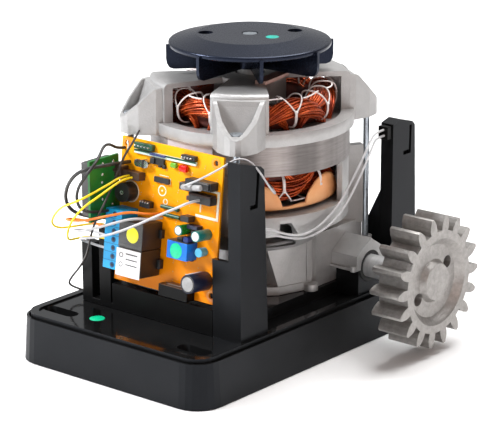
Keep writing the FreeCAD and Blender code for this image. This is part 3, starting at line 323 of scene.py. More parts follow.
FINISH = {
    # mouldings
    "base_moulding": base_moulding(),
    "black_satin": finish_of("moulded_black_satin", grey(0.0025), grey(0.004), (0.34, 0.44), patch=40,
                             grain=2200, bump=0.10, specular=0.13),
    # painted sheen: the blue cast in the fan's colour and in its reflection tint stands for a bluish sheen
    "fan_black_painted_sheen": finish_of("fan_black_painted_sheen", (0.003, 0.004, 0.008), (0.006, 0.008, 0.014), (0.22, 0.30), patch=30,
                           grain=1800, bump=0.05, specular=0.36, tint=(0.55, 0.66, 1.0)),
    "seal_rubber": finish_of("seal_rubber", grey(0.012), grey(0.02), (0.6, 0.75)),
    # metals
    "cast_alloy": finish_of("blasted_casting", grey(0.375, 0.012), grey(0.435, 0.012), (0.36, 0.50), 0.6,
                            patch=120, grain=1100, bump=0.6, depth=0.0003),
    "bearing_steel": finish_of("ground_ring", grey(0.50), grey(0.60), (0.22, 0.32), 1.0, stretch=(1, 1, 8)),
    "gear_bronze": finish_of("gear_bronze", (0.50, 0.34, 0.15), (0.62, 0.44, 0.22), (0.30, 0.42), 1.0),
    "shaft_steel": finish_of("ground_shaft", grey(0.55), grey(0.68), (0.30, 0.42), 0.6, stretch=(9, 1, 1)),
    "pinion_steel": finish_of("sintered_pinion", grey(0.25, 0.045), grey(0.35, 0.045), (0.32, 0.50), 0.7,
                              patch=300, grain=900, bump=0.6, depth=0.0003),
    "rotor_steel": finish_of("turned_rotor", grey(0.30), grey(0.42), (0.35, 0.5), 1.0, stretch=(1, 1, 10)),
    "lamination_steel": laminations(),
    "zinc_screw": finish_of("zinc_plate", (0.34, 0.38, 0.42), (0.46, 0.50, 0.54), (0.24, 0.38), 0.9,
                            patch=200),
    "switch_bronze": finish_of("switch_case", (0.40, 0.24, 0.20), (0.52, 0.33, 0.28), (0.3, 0.45), 0.6),
    "plate_white": finish_of("bare_plate", (0.60, 0.57, 0.62), (0.72, 0.69, 0.72), (0.3, 0.42), patch=150),
    # windings
    "copper_wire": finish_of("enamelled_copper", (0.17, 0.012, 0.004), (0.72, 0.12, 0.02), (0.17, 0.30), 0.6,
                             patch=110, grain=1200),
    # copper_core: the copper body inside the end turns, painted dark as shade
    "copper_core": finish_of("copper_shadow", (0.05, 0.006, 0.003), (0.14, 0.018, 0.006), (0.4, 0.55), 0.4,
                             patch=160),
    "insulation": finish_of("insulation_paper", (0.92, 0.41, 0.16), (0.96, 0.50, 0.23), (0.45, 0.6),
                            patch=90),
    "thread_white": finish_of("lacing_thread", (0.74, 0.66, 0.64), (0.88, 0.84, 0.82), (0.5, 0.65),
                              patch=200),
    # control board
    "board_orange": board_lacquer(),
    "pad_orange": finish_of("bare_pad", (0.80, 0.22, 0.01), (0.95, 0.34, 0.02), (0.25, 0.4), patch=200),
    "solder": finish_of("solder", grey(0.5), grey(0.75), (0.2, 0.35), 0.9, patch=300),
    "solder_warm": finish_of("warm_pad", (0.55, 0.16, 0.02), (0.95, 0.55, 0.15), (0.25, 0.4), 0.2, patch=400),
    "print_white": finish_of("screen_print", (0.72, 0.66, 0.50), (0.88, 0.84, 0.70), (0.4, 0.5), patch=300),
    "terminal_cyan": finish_of("terminal_moulding", (0.005, 0.30, 0.62), (0.01, 0.40, 0.78), (0.32, 0.45)),
    # dark blue: painted shade in the screw wells, and the dark joints between the ways
    "well_shade_and_joint_blue": finish_of("terminal_well", (0.002, 0.05, 0.16), (0.003, 0.08, 0.22), (0.35, 0.5), patch=150),
    "relay_brown": finish_of("relay_case", (0.020, 0.014, 0.010), (0.034, 0.022, 0.014), (0.30, 0.42),
                             patch=100),
    "relay_front": finish_of("relay_front", grey(0.055), grey(0.075), (0.35, 0.5), patch=150),
    "lamp_relay_blue": finish_of("blue_case", (0.002, 0.12, 0.52), (0.004, 0.18, 0.66), (0.28, 0.4),
                                 specular=0.3),
    "label_white": finish_of("label_stock", grey(0.74), grey(0.84), (0.4, 0.5), patch=150),
    "print_dark": finish_of("dark_print", grey(0.05), grey(0.08), (0.4, 0.5), patch=150),
    "dot_yellow": finish_of("sticker_yellow", (0.66, 0.62, 0.01), (0.80, 0.76, 0.03), (0.35, 0.45),
                            patch=300),
    "dot_teal": finish_of("sticker_teal", (0.0, 0.26, 0.20), (0.0, 0.36, 0.29), (0.3, 0.4), patch=300),
    "dot_green": finish_of("sticker_green", (0.0, 0.50, 0.22), (0.0, 0.66, 0.34), (0.3, 0.4), patch=300),
    "black_component": finish_of("component_black", grey(0.012), grey(0.02), (0.35, 0.5), patch=120),
    "crystal_silver": finish_of("pressed_can", grey(0.62), grey(0.74), (0.14, 0.24), 1.0, patch=150),
    "strip_white": finish_of("pale_strip", (0.55, 0.70, 0.62), (0.68, 0.80, 0.74), (0.35, 0.5)),
    "led_lens": finish_of("green_lens", (0.10, 0.30, 0.02), (0.16, 0.42, 0.03), (0.10, 0.2)),
    "lens_red": finish_of("red_lens", (0.62, 0.0, 0.0), (0.85, 0.01, 0.0), (0.1, 0.2), patch=300),
    "connector_brown": finish_of("brown_moulding", (0.035, 0.018, 0.014), (0.06, 0.03, 0.022), (0.35, 0.48)),
    "cover_brown": finish_of("cover_brown", (0.05, 0.022, 0.008), (0.085, 0.035, 0.012), (0.35, 0.5),
                             patch=90),
    "plug_pale": finish_of("plug_moulding", grey(0.26), grey(0.40), (0.35, 0.45), patch=150),
    "diode_green": finish_of("green_lacquer", (0.01, 0.06, 0.03), (0.02, 0.10, 0.05), (0.25, 0.4)),
    "thermistor_dark": finish_of("dark_lacquer", (0.012, 0.014, 0.035), (0.02, 0.024, 0.055), (0.25, 0.4)),
    "thermistor_blue": finish_of("deep_blue", (0.006, 0.02, 0.12), (0.012, 0.035, 0.2), (0.25, 0.35)),
    "varistor_cyan": finish_of("cyan_lacquer", (0.05, 0.32, 0.50), (0.08, 0.42, 0.62), (0.25, 0.36)),
    "can_teal": finish_of("teal_sleeve", (0.006, 0.12, 0.11), (0.01, 0.18, 0.16), (0.25, 0.36)),
    "sleeve_green": finish_of("green_sleeve", (0.01, 0.16, 0.015), (0.02, 0.24, 0.03), (0.2, 0.3), patch=150),
    "capacitor_sleeve": finish_of("capacitor_sleeve", (0.006, 0.008, 0.022), (0.012, 0.016, 0.04), (0.3, 0.4),
                                  specular=0.3),
    "print_grey": finish_of("sleeve_print", grey(0.45), grey(0.6), (0.3, 0.4), patch=150),
    "receiver_green": finish_of("receiver_lacquer", (0.004, 0.10, 0.012), (0.01, 0.20, 0.03), (0.28, 0.4),
                                patch=80),
    "receiver_grey": finish_of("screen_grey", grey(0.045), grey(0.07), (0.3, 0.42), 0.3),
    # loose leads
    "cable_black": finish_of("black_sheath", grey(0.012), grey(0.022), (0.38, 0.5), patch=150),
    "lead_brown": finish_of("dark_sheath", (0.025, 0.02, 0.018), (0.04, 0.03, 0.027), (0.38, 0.5), patch=150),
    "wire_yellow": finish_of("yellow_sheath", (0.78, 0.56, 0.0), (0.90, 0.70, 0.01), (0.35, 0.46), patch=150),
    "wire_orange": finish_of("orange_sheath", (0.80, 0.17, 0.008), (0.90, 0.24, 0.02), (0.35, 0.46),
                             patch=150),
    "wire_pale": finish_of("pale_sheath", (0.40, 0.40, 0.41), (0.52, 0.52, 0.53), (0.35, 0.46), patch=150),
}


def finish_packed_solids():
    """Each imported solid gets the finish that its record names; three have a closer one here."""
    chosen = {entry["node"]: entry["material_slot"] for entry in frame["record"]["subparts"]}
    chosen.update(base="base_moulding", fan="fan_black_painted_sheen", fuse_holder="black_satin")
    for node, solid in NODES.items():
        solid.data.materials.clear()
        solid.data.materials.append(FINISH[chosen[node]])


def mesh_piece(name, shape, finish, body="frame"):
    """A smooth-shaded mesh object of a shape in one finish; it rides on a body."""
    points, faces = shape
    mesh = bpy.data.meshes.new(name)
    mesh.from_pydata((points * MM).tolist(), [], [face.tolist() for face in faces])
    mesh.update()
    mesh.polygons.foreach_set("use_smooth", [True] * len(mesh.polygons))
    piece = bpy.data.objects.new(name, mesh)
    bpy.context.scene.collection.objects.link(piece)
    mesh.materials.append(FINISH[finish])
    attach(piece, body)
    return piece


# ------------------------------------------------------------------ the board's own axes

BOARD_TURN = about("X", 90.0 - BOARD_LEAN)


def on_board(u, v, w):
    """A place on the board: u from its left edge, v up from its lower edge, w out of its face."""
    return tuple(BOARD_TURN @ np.array([u, v, w]) + np.array(BOARD_CORNER))


def cell(u, v, w, du, dv, dw, edge=0.3):
    """A box with rounded edges from its near lower left corner and its three sizes."""
    return soft_box((u, v, w), (u + du, v + dv, w + dw), edge, 2)


def board_set(name, finish, shapes, replaced=()):
    """Several shapes given in the board's (u, v, w) as one piece, with its crisp edges kept."""
    piece = mesh_piece(name, moved(join(shapes), BOARD_CORNER, BOARD_TURN), finish)
    piece.data.set_sharp_from_angle(angle=math.radians(CRISP))
    if replaced:
        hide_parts(*replaced)


# ------------------------------------------------------------------ loose leads

def wire(name, node, points, diameter, finish, first=True):
    """A loose lead: one smooth spline through the space of its solid, round in section.  The first lead of a
    node replaces the node's solid."""
    curve = bpy.data.curves.new(name, "CURVE")
    curve.dimensions = "3D"
    spline = curve.splines.new("NURBS")
    spline.points.add(len(points) - 1)
    for point, place in zip(spline.points, points):
        point.co = (*[c * MM for c in place], 1.0)
    spline.order_u = 3
    spline.use_endpoint_u = True
    curve.resolution_u = 10
    curve.bevel_depth = diameter / 2 * MM
    curve.bevel_resolution = 4
    curve.use_fill_caps = True
    piece = bpy.data.objects.new(name, curve)
    bpy.context.scene.collection.objects.link(piece)
    curve.materials.append(FINISH[finish])
    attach(piece, "frame")
    if first:
        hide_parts(node)


def straight_out(u, v, w, run):
    """The first two points of a lead that leaves the board square to its face."""
    return [on_board(u, v, w), on_board(u, v, w + run)]


def into_block(v, w):
    """The last two points of a lead that enters the terminal block from the left."""
    return [on_board(-3.6, v, w), on_board(3.15, v, w)]


def black_cables():
    """The loop and the aerial cable at the left of the board, and the thin earth lead that comes over the
    board's upper edge and runs down to the left."""
    wire("loop_cable_sheath", "loop_cable", straight_out(6.9, 71.4, 0.05, 10.0) + [
        (-25.5, -88.0, 119.6), (-27.5, -98.5, 120.2), (-36.5, -101.0, 115.5), (-48.0, -96.5, 104.5),
        (-55.0, -90.5, 93.5), (-54.5, -85.5, 86.0), (-46.5, -80.5, 83.2)] + into_block(36.5, 4.5),
        2.2, "cable_black")
    wire("aerial_cable_sheath", "aerial_cable", straight_out(2.4, 79.0, 0.05, 6.5) + [
        (-30.9, -77.5, 129.6), (-29.0, -84.5, 130.0), (-25.5, -91.5, 126.5), (-22.5, -99.5, 123.0),
        (-24.8, -104.5, 117.0), (-31.0, -104.5, 109.0), (-34.5, -102.5, 101.0), (-32.6, -101.0, 94.8),
        on_board(4.9, 43.4, 26.5), on_board(4.9, 43.4, 14.05)], 1.8, "cable_black")
    wire("earth_lead_sheath", "earth_lead", [
        (-19.07, -64.9, 136.5), (-15.0, -70.9, 136.5), (-17.0, -74.2, 130.2), (-21.4, -74.8, 124.0),
        (-23.3, -77.0, 117.5), (-24.3, -80.5, 110.0), (-24.0, -86.5, 102.0), (-25.0, -91.5, 94.5),
        (-29.2, -92.5, 86.5), (-33.5, -91.5, 78.5), (-37.2, -90.0, 69.5), (-43.5, -86.0, 60.5),
        (-54.0, -81.5, 50.0), (-62.5, -79.0, 42.5), (-67.3, -77.6, 36.4), (-62.9, -72.7, 33.0),
        (-56.55, -72.6, 33.0)], 1.3, "lead_brown")


def yellow_wires():
    """The two yellow wires from the left connector of the board round to the terminal block."""
    wire("yellow_wire_a", "yellow_wires", straight_out(12.4, 64.7, 6.05, 7.0) + [
        (-21.2, -88.5, 109.6), (-22.5, -98.0, 107.2), (-25.6, -106.0, 104.0), (-34.5, -107.0, 99.6),
        (-46.0, -103.0, 94.4), (-56.0, -99.0, 87.0), (-61.8, -96.0, 79.8), (-61.5, -90.5, 75.6),
        (-57.0, -83.0, 75.6), (-50.5, -76.5, 77.0), (-42.5, -74.4, 78.4)] + into_block(31.8, 4.5),
        1.3, "wire_yellow")
    wire("yellow_wire_b", "yellow_wires", straight_out(14.6, 63.9, 6.05, 7.0) + [
        (-19.4, -90.5, 107.6), (-19.7, -101.0, 104.4), (-23.6, -108.5, 99.6), (-31.0, -108.5, 92.0),
        (-38.5, -105.5, 83.6), (-44.0, -101.0, 76.0), (-48.5, -94.5, 71.8), (-50.5, -87.0, 70.6),
        (-46.5, -81.2, 71.2)] + into_block(25.0, 8.0), 1.3, "wire_yellow", first=False)


def motor_wires():
    """The orange wire and the two pale ones that cross the board to the terminal block."""
    wire("motor_wire_orange", "motor_wires", straight_out(33.4, 45.6, 0.05, 9.0) + [
        (-6.5, -87.0, 95.4), (-17.0, -93.5, 92.6), (-31.0, -97.5, 88.0), (-44.0, -95.5, 84.6),
        (-54.0, -91.4, 82.6), (-58.6, -84.6, 80.8), (-53.4, -79.0, 79.8), (-43.0, -79.0, 79.6)]
        + into_block(32.5, 10.0), 1.5, "wire_orange")
    wire("motor_wire_white_a", "motor_wires", straight_out(34.4, 43.0, 0.05, 10.5) + [
        (-1.0, -90.5, 93.4), (-10.0, -97.5, 90.4), (-22.0, -100.5, 85.6), (-35.0, -99.5, 81.0),
        (-45.0, -95.5, 78.4), (-49.0, -88.5, 76.6), (-46.0, -82.0, 75.4), (-40.0, -80.2, 75.0)]
        + into_block(27.5, 10.0), 1.5, "wire_pale", first=False)
    wire("motor_wire_white_b", "motor_wires", straight_out(66.4, 59.8, 6.05, 7.8) + [
        (27.0, -82.5, 103.6), (15.0, -88.0, 97.4), (4.0, -93.0, 91.0), (-8.0, -98.5, 85.0),
        (-21.0, -100.5, 80.4), (-33.0, -98.0, 77.0), (-42.0, -93.0, 73.6), (-45.0, -86.5, 70.4),
        (-40.5, -82.4, 68.0)] + into_block(20.0, 10.0), 1.5, "wire_pale", first=False)


def sensor_wires():
    """The two leads that come from behind the front post, sag beside the motor and rise to the sensor."""
    wire("sensor_wire_a", "sensor_cable", [
        (62.5, -53.84, 89.5), (62.5, -47.5, 89.7), (66.5, -38.0, 84.5), (70.5, -25.0, 81.0),
        (72.0, -10.0, 84.2), (72.0, 6.0, 92.0), (71.5, 19.5, 104.0), (70.0, 32.0, 115.0),
        (66.5, 44.0, 122.4), (62.6, 53.5, 124.6), (62.6, 61.95, 124.6)], 1.4, "wire_pale")
    wire("sensor_wire_b", "sensor_cable", [
        (60.5, -53.78, 87.0), (60.5, -47.5, 87.2), (64.5, -37.0, 82.0), (69.5, -23.5, 78.4),
        (74.0, -8.0, 81.6), (74.0, 9.0, 90.0), (73.0, 22.0, 101.6), (71.0, 34.0, 112.2),
        (67.0, 45.5, 118.8), (63.0, 54.0, 121.2), (63.0, 61.95, 121.2)], 1.4, "wire_pale", first=False)


def cutout_wire():
    """The thin lead that goes over the front post and into the lower end turns."""
    wire("cutout_wire_a", "motor_wires", straight_out(58.5, 67.2, 7.1, 4.5) + [
        (32.0, -82.5, 117.5), (40.5, -82.0, 121.5), (53.3, -76.5, 129.7), (58.8, -70.5, 135.0),
        (63.6, -65.0, 133.8), (67.5, -60.5, 127.0), (70.4, -56.0, 118.0), (69.0, -49.0, 111.5),
        (63.5, -41.5, 109.0), (56.5, -35.0, 109.0), (48.5, -28.6, 108.5)], 1.1, "wire_pale", first=False)


# ------------------------------------------------------------------ windings

def coil_ends(name, node, root, tip, phase):
    """End turns: overlapping bundles of round wire.  The middle line of a bundle leaves the core at one
    angle, climbs to its full height like a flattened sine and comes back at another.  Each wire keeps its
    place in a round section, which twists by a third of a turn on the way and is flatter at both ends."""
    bundles, wires, wire_radius = 10, 40, 0.72
    spread, twist, next_wire = math.radians(62.0), 2.1, 2.4
    rise = tip - root
    upward = math.copysign(1.0, rise)
    t = np.linspace(0.0, 1.0, 34)
    climb = np.sin(math.pi * t) ** 0.55
    parts = []
    for k in range(bundles):
        outer = k % 2
        middle_radius = 44.6 if outer else 41.8
        tall = abs(rise) - (7.0 if outer else 6.2)
        size = 5.4 + 0.4 * math.sin(2.3 * k + phase)
        angle = math.radians(360.0 / bundles * k) + phase + spread * (t - 0.5)
        for i in range(wires):
            off = size * math.sqrt((i + 0.5) / wires)
            turn = next_wire * i + twist * t
            radius = middle_radius + off * np.cos(turn) * (0.7 + 0.3 * climb)
            height = root + upward * (tall * climb + off * np.sin(turn) * (0.3 + 0.7 * climb))
            path = np.stack([MOTOR_X + radius * np.cos(angle), radius * np.sin(angle), height], 1)
            parts.append(sweep(path, wire_radius, 5))
    piece = mesh_piece(name, join(parts), "copper_wire")
    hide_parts(node)
    coil_core_painted_shade(name + "_core", (root + tip) / 2, upward)


def coil_core_painted_shade(name, middle, upward):
    """Copper in painted shade inside the end turns: an eight-sided profile turned about the motor axis."""
    profile = [(38.0, -8.4), (43.0, -8.4), (44.0, -6.0), (44.0, 1.0), (42.6, 3.0), (39.0, 3.0), (37.0, 1.0),
               (37.0, -6.0)]
    core = [(radius, middle + upward * z) for radius, z in profile]
    if upward < 0:
        core.reverse()
    mesh_piece(name, moved(lathe(core, 96, closed=True), (MOTOR_X, 0, 0)), "copper_core")


def lacing(name, low, high, upward, start):
    """Cord tied round the end turns.  A pair of cords goes up the outside of the ring as one, parts at a
    knot, opens over the top like a sine and closes again inside; one more cord leads from each pair to the
    next.  The ring's section is a rounded oblong, a superellipse."""
    pairs, cord_radius, power = 12, 0.46, 2.6
    middle_radius, across = 43.2, 8.0
    middle_z, tall = (low + high) / 2, (high - low) / 2
    opening, together = math.radians(8.4), 0.008       # half the angle between a pair's two cords
    knot_turn, link_turn, clear = 0.12, 1.05, math.radians(8.0)
    phi = np.linspace(-0.5, 0.92, 44) * math.pi
    lift = np.clip(np.sin(phi - knot_turn), 0.0, 1.0)

    def on_ring(angle, turn):
        """Places at an angle about the motor and a turn about the ring's middle line, 0 being outside."""
        bulge = (np.abs(np.cos(turn)) ** power + np.abs(np.sin(turn)) ** power) ** (-1 / power)
        r = middle_radius + across * bulge * np.cos(turn)
        return np.stack([MOTOR_X + r * np.cos(angle), r * np.sin(angle),
                         middle_z + upward * tall * bulge * np.sin(turn)], -1)

    def angle_of(k):
        """The uneven angle of a pair."""
        return start + math.radians(360.0 / pairs * k + 4.0 * math.sin(1.7 * k))

    parts = []
    for k in range(pairs):
        angle, ahead = angle_of(k), angle_of(k + 1)
        for side in (-1.0, 1.0):
            parts.append(sweep(on_ring(angle + side * (opening * lift + together), phi), cord_radius, 6))
        knot = soft_box((-0.8, -1.1, -0.9), (0.8, 1.1, 0.9), 0.75)
        knot_place = on_ring(np.array([angle]), np.array([knot_turn]))[0]
        parts.append(moved(knot, knot_place, about("Z", math.degrees(angle))))
        span = np.linspace(angle + clear, ahead - clear, 14)
        parts.append(sweep(on_ring(span, link_turn + 0.12 * np.sin(span * 9)), cord_radius, 6))
    mesh_piece(name, join(parts), "thread_white")


def paper_cuffs():
    """Insulating paper round the lower end turns: a closed thin profile on a ring.  Its upper edge rises in
    six round lobes, a raised cosine flattened by a power, and its wall ripples more the higher it is."""
    ring_radius, foot, edge, lobe_height = 51.0, 93.6, 95.8, 14.0
    a = np.linspace(0, 2 * math.pi, 420, endpoint=False)
    lobe = np.clip((0.55 + np.cos(6.0 * (a - math.radians(10.0)))) / 1.55, 0.0, 1.0) ** 0.42
    top = edge + lobe_height * lobe + 0.4 * np.sin(17 * a)
    profile = ((0.0, 0.0), (0.12, 0.5), (0.5, 0.75), (0.9, 0.35), (1.0, -0.3), (1.0, -0.9), (0.5, -0.2),
               (0.0, -0.5))         # share of the height, offset outwards
    rows = []
    for share, out in profile:
        r = ring_radius + out + (0.22 * np.sin(29 * a + 5 * share) + 0.3 * np.sin(13 * a)) * share
        rows.append(np.stack([MOTOR_X + r * np.cos(a), r * np.sin(a), foot + (top - foot) * share], -1))
    faces = grid_faces(len(rows), len(a), wrap_rows=True, wrap_cols=True)
    piece = mesh_piece("paper_cuffs", (np.concatenate(rows), faces), "insulation")
    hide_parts("insulation_paper")


# ------------------------------------------------------------------ control board

def terminal_details():
    """A round well, its dark blue a painted shade of the screw hole, with a screw head in each way of the
    terminal block, and thin lines between the ways.
    """
    middle, top = 10.4, 14.0
    ways = [12.2 + 5.0 * k for k in range(7)]
    # painted shade: the wells' dark blue stands for the shaded screw holes; the lines between the ways are
    # dark joints
    board_set("terminal_wells", "well_shade_and_joint_blue", [moved(disc(1.75, 0.12), (middle, v, top + SKIN)) for v in ways]
              + [cell(3.4, v - 2.62, top, 12.2, 0.24, 0.1, 0.04) for v in ways[1:]])
    board_set("terminal_screws", "black_component",
              [moved(disc(0.9, 0.1), (middle, v, top + 0.14)) for v in ways])


def motor_relay_details():
    """A ribbed front with a round sticker on the upper relay, a label with rings and bars on the lower."""
    front, label_top = 17.0, 17.18
    board_set("relay_sticker", "dot_yellow", [moved(disc(4.6, 0.12), (27.8, 33.4, front + 0.24))])
    board_set("relay_label", "label_white", [cell(16.2, 8.2, front + 0.04, 18.6, 16.2, 0.14, 0.06)])
    board_set("relay_label_marks", "print_dark",
              [moved(flat_ring(1.1, 1.5, 0.06), (20.0, v, label_top + 0.01)) for v in (20.6, 15.0)]
              + [cell(23.6, v, label_top - SKIN, 8.8, 0.7, 0.06, 0.02) for v in (21.4, 18.2, 15.0)])
    board_set("relay_ridges", "relay_front", [cell(17.1, 25.3, front, 18.0, 15.4, 0.08, 0.04)]
              + [cell(17.1, 25.4 + 1.9 * k, front + 0.04, 18.0, 0.35, 0.18, 0.08) for k in range(8)])


def lamp_relay_details():
    """A dark top, a round sticker and four feet on the blue relay."""
    board_set("blue_relay_top", "black_component", [cell(47.3, 33.7, 0.3, 15.0, 0.5, 8.5, 0.2)])
    board_set("blue_relay_sticker", "dot_green", [moved(disc(4.5, 0.12), (54.2, 28.5, 9.02))])
    board_set("blue_relay_pins", "black_component",
              [cell(48.5 + 3.6 * k, 22.4, 0.0, 1.4, 1.4, 2.2) for k in range(4)])


def lamps_and_buzzer():
    """The two status lamps, the printed ring round the buzzer, the rim of its hole and its two lugs."""
    u, v, top = 9.2, 54.2, 8.0
    board_set("lens_green", "led_lens", [cell(39.6, 73.8, 0.0, 4.6, 3.0, 2.6, 0.9)],
              replaced=("status_leds",))
    board_set("lens_red_piece", "lens_red", [cell(46.6, 72.8, 0.0, 6.0, 4.0, 3.2, 1.1)])
    board_set("buzzer_ring", "print_white", [moved(flat_ring(5.8, 6.5, 0.12), (u, v, SKIN))])
    board_set("buzzer_hole", "solder", [moved(flat_ring(0.5, 1.3, 0.1), (u, v, top + SKIN))]
              + [cell(u - 8.0, lug, 2.0, 1.6, 1.6, 3.5, 0.5) for lug in (v + 2.4, v - 3.2)])


def crystal_and_headers():
    """The crystal's dark band with three small parts beside it, the pins of the headers, and the green header
    with its long strip."""
    board_set("crystal_band", "black_component", [
        cell(19.3, 70.2, 0.0, 1.7, 4.8, 3.9), cell(24.4, 73.6, 0.0, 3.2, 3.4, 2.6),
        cell(30.0, 72.2, 0.0, 2.2, 2.2, 1.6), cell(33.2, 71.9, 0.0, 2.2, 2.2, 1.6)])
    board_set("header_pins", "solder", [cell(13.2 + 2.5 * k, 82.1, 3.0, 0.9, 0.9, 1.6) for k in range(5)]
              + [cell(49.2 + 2.2 * k, 81.4, 3.0, 0.9, 0.9, 1.6) for k in range(4)]
              + [cell(20.2 + 1.9 * k, 50.2, 3.6, 1.0, 1.0, 1.2) for k in range(4)])
    board_set("green_header", "diode_green", [
        cell(11.8, 80.7, 0.0, 13.9, 3.7, 3.1), cell(11.0, 78.9, 1.55, 47.4, 1.1, 0.2, 0.06)])


def plugs():
    """Two pale plug shells, rounded rods that lie along the board, with the dark bodies behind them, and the
    brown top of the limit connector."""
    shell = lathe([(0.3, 0.0), (1.4, 0.3), (1.75, 1.4), (1.75, 8.5), (1.3, 9.2), (0.4, 9.4)], 20)
    lying = about("Z", 10.0) @ about("Y", 78.0)
    board_set("plug_shells", "plug_pale",
              [moved(shell, (u, v, 7.6), lying) for u, v in ((54.4, 65.6), (61.3, 66.35))])
    board_set("plug_caps", "black_component", [
        cell(50.6, 63.4, 0.0, 10.5, 4.6, 6.2, 0.8), cell(62.0, 66.5, 7.0, 12.6, 4.2, 1.6, 0.6)])
    board_set("limit_top", "connector_brown", [
        cell(57.6, 60.4, 0.0, 16.6, 2.8, 5.6, 0.5), cell(54.2, 57.6, 0.0, 4.4, 2.6, 3.2)])


def printing():
    """The printed frame round the connectors, two rings with a dot, fine lines, and a bare pad round each of
    four holes."""
    board_set("print_frame", "print_white", [
        cell(75.0, 48.6, 0.0, 1.6, 17.0, 0.5, 0.2), cell(59.6, 48.6, 0.0, 16.0, 1.6, 0.5, 0.2),
        cell(66.0, 64.4, 0.0, 9.6, 1.2, 0.4, 0.2), cell(62.4, 51.6, 0.0, 0.9, 6.0, 0.3, 0.1)])
    board_set("print_marks", "print_white", [
        moved(flat_ring(2.5, 3.2, 0.08), (33.2, 58.8, SKIN)), moved(disc(0.6, 0.1), (33.2, 58.8, SKIN)),
        moved(flat_ring(1.2, 1.8, 0.08), (36.2, 52.8, SKIN)), cell(30.5, 67.4, 0.0, 7.0, 0.5, 0.1, 0.04),
        cell(38.6, 63.2, 0.0, 0.6, 3.6, 0.1, 0.04), cell(4.4, 77.0, 0.0, 0.9, 5.2, 0.3, 0.1)])
    board_set("hole_pads", "pad_orange", [moved(flat_ring(1.75, 3.3, 0.1), (u, v, SKIN))
                                          for u, v in ((72.0, 81.6), (75.0, 5.0), (4.0, 82.0), (4.0, 4.0))])


def aerial_block():
    """A small brown block with a peg at the left edge of the board, beside the left connector."""
    board_set("aerial_block", "connector_brown", [
        cell(0.4, 62.6, 0.0, 6.2, 6.4, 7.4, 0.6), cell(1.4, 65.6, 7.2, 1.8, 1.8, 1.6)])


def capacitor_details():
    """Pale tops on the two small cans and a green sleeve on one.  The main capacitor has a pale end with a
    bar across it, a dark rim and a printed stripe."""
    green_can, teal_can, main = (54.9, 40.5), (69.6, 40.0), (70.2, 13.0)
    board_set("can_tops", "label_white", [moved(disc(2.3, 0.2), (*green_can, 9.02)),
                                          moved(disc(2.6, 0.2), (*teal_can, 11.02))])
    board_set("can_green_sleeve", "sleeve_green", [moved(flat_ring(2.88, 3.05, 8.4), (*green_can, 0.3))])
    board_set("capacitor_top", "plug_pale", [moved(disc(4.7, 0.3), (*main, 15.5)),
                                             cell(66.6, 12.8, 15.8, 7.2, 0.4, 0.12, 0.05)])
    board_set("capacitor_rim", "black_component", [moved(flat_ring(4.2, 4.75, 0.12), (*main, 15.8))])
    board_set("capacitor_stripe", "print_grey", [cell(67.2, 17.6, 1.2, 2.6, 0.6, 13.6, 0.25)])


def other_board_parts():
    """The fuse holder's brown cover, four small black parts and two deep blue ones."""
    board_set("fuse_cover", "cover_brown", [
        cell(41.0, 6.1, 0.2, 22.0, 0.5, 6.7, 0.2), cell(46.0, 6.3, 1.0, 12.0, 1.6, 5.0, 0.7)])
    board_set("small_parts", "black_component", [
        cell(35.4, 31.4, 0.0, 2.0, 5.0, 3.0), cell(35.4, 13.4, 0.0, 2.4, 5.4, 3.4),
        cell(60.0, 37.4, 0.0, 3.0, 3.6, 4.0), cell(52.4, 33.8, 0.0, 4.0, 2.4, 6.6)])
    board_set("blue_bits", "thermistor_blue", [
        cell(57.6, 33.9, 0.0, 3.8, 3.4, 7.6, 0.5), cell(24.0, 78.6, 1.6, 12.0, 1.3, 1.4, 0.4)])


def solder_pads():
    """Small domes strewn over the board: even steps along and up, wrapped round at the edges.  None lies in
    the corner that the terminal block and the relays fill."""
    step_u, step_v = 37.71, 23.37
    wide, tall = 66.0, 76.0
    dome = lathe([(0.42, 0.0), (0.40, 0.12), (0.2, 0.22)], 8)
    pads = []
    for k in range(150):
        u, v = 8.0 + (k * step_u) % wide, 3.0 + (k * step_v) % tall
        if u > 36.5 or v > 50.0:
            pads.append(moved(dome, (u, v, SKIN)))
    board_set("solder_pads", "solder_warm", pads)


# ------------------------------------------------------------------ small pieces elsewhere

def round_stickers():
    """A round sticker on the fan and one on the deck of the base."""
    mesh_piece("fan_sticker", moved(disc(3.9, 0.1), (MOTOR_X + 17.0, 0.0, FAN_TOP + SKIN)), "dot_teal",
               "motor_rotor")
    mesh_piece("base_sticker", moved(disc(4.6, 0.1), (-27.3, -94.8, DECK_TOP + SKIN)), "dot_green")


def receiver_solder():
    """Solder spots on the face of the receiver board: low cones turned to face +X."""
    face_x = -30.88
    spot = lathe([(0.9, 0.0), (0.8, 0.3), (0.3, 0.6)], 12)
    places = ((-74.8, 118.6), (-83.7, 118.8), (-83.9, 112.5), (-84.4, 107.8), (-84.3, 97.5), (-75.1, 106.3),
              (-76.0, 93.0))
    spots = [moved(spot, (face_x, y, z), about("Y", 90.0)) for y, z in places]
    mesh_piece("receiver_solder", join(spots), "solder")


def rounded_edges():
    """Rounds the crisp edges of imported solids: their loose triangles are welded, then the edges bevelled."""
    radii = {"upper_bell": 0.8, "lower_housing": 0.6, "output_housing": 0.6, "side_cover": 0.6, "base": 0.6,
             "board_bracket": 0.4, "main_board": 0.2}
    small = ("open_relay", "close_relay", "lamp_relay", "terminal_block", "chips", "pin_headers",
             "aerial_connector", "motor_connector", "limit_connector", "transistor", "thermistor",
             "fuse_holder", "receiver_can", "limit_sensor", "edge_strip", "main_capacitor", "buzzer",
             "small_capacitors", "thermal_switch", "pinion_gear")
    radii.update(dict.fromkeys(small, 0.35))
    for node, radius in radii.items():
        weld = NODES[node].modifiers.new("welded", "WELD")
        weld.merge_threshold = 0.002 * MM
        bevel = NODES[node].modifiers.new("rounded", "BEVEL")
        bevel.width = radius * MM
        bevel.segments = 2
        bevel.limit_method = "ANGLE"
        bevel.angle_limit = math.radians(CRISP)
        bevel.harden_normals = True


# ------------------------------------------------------------------ room, light and camera

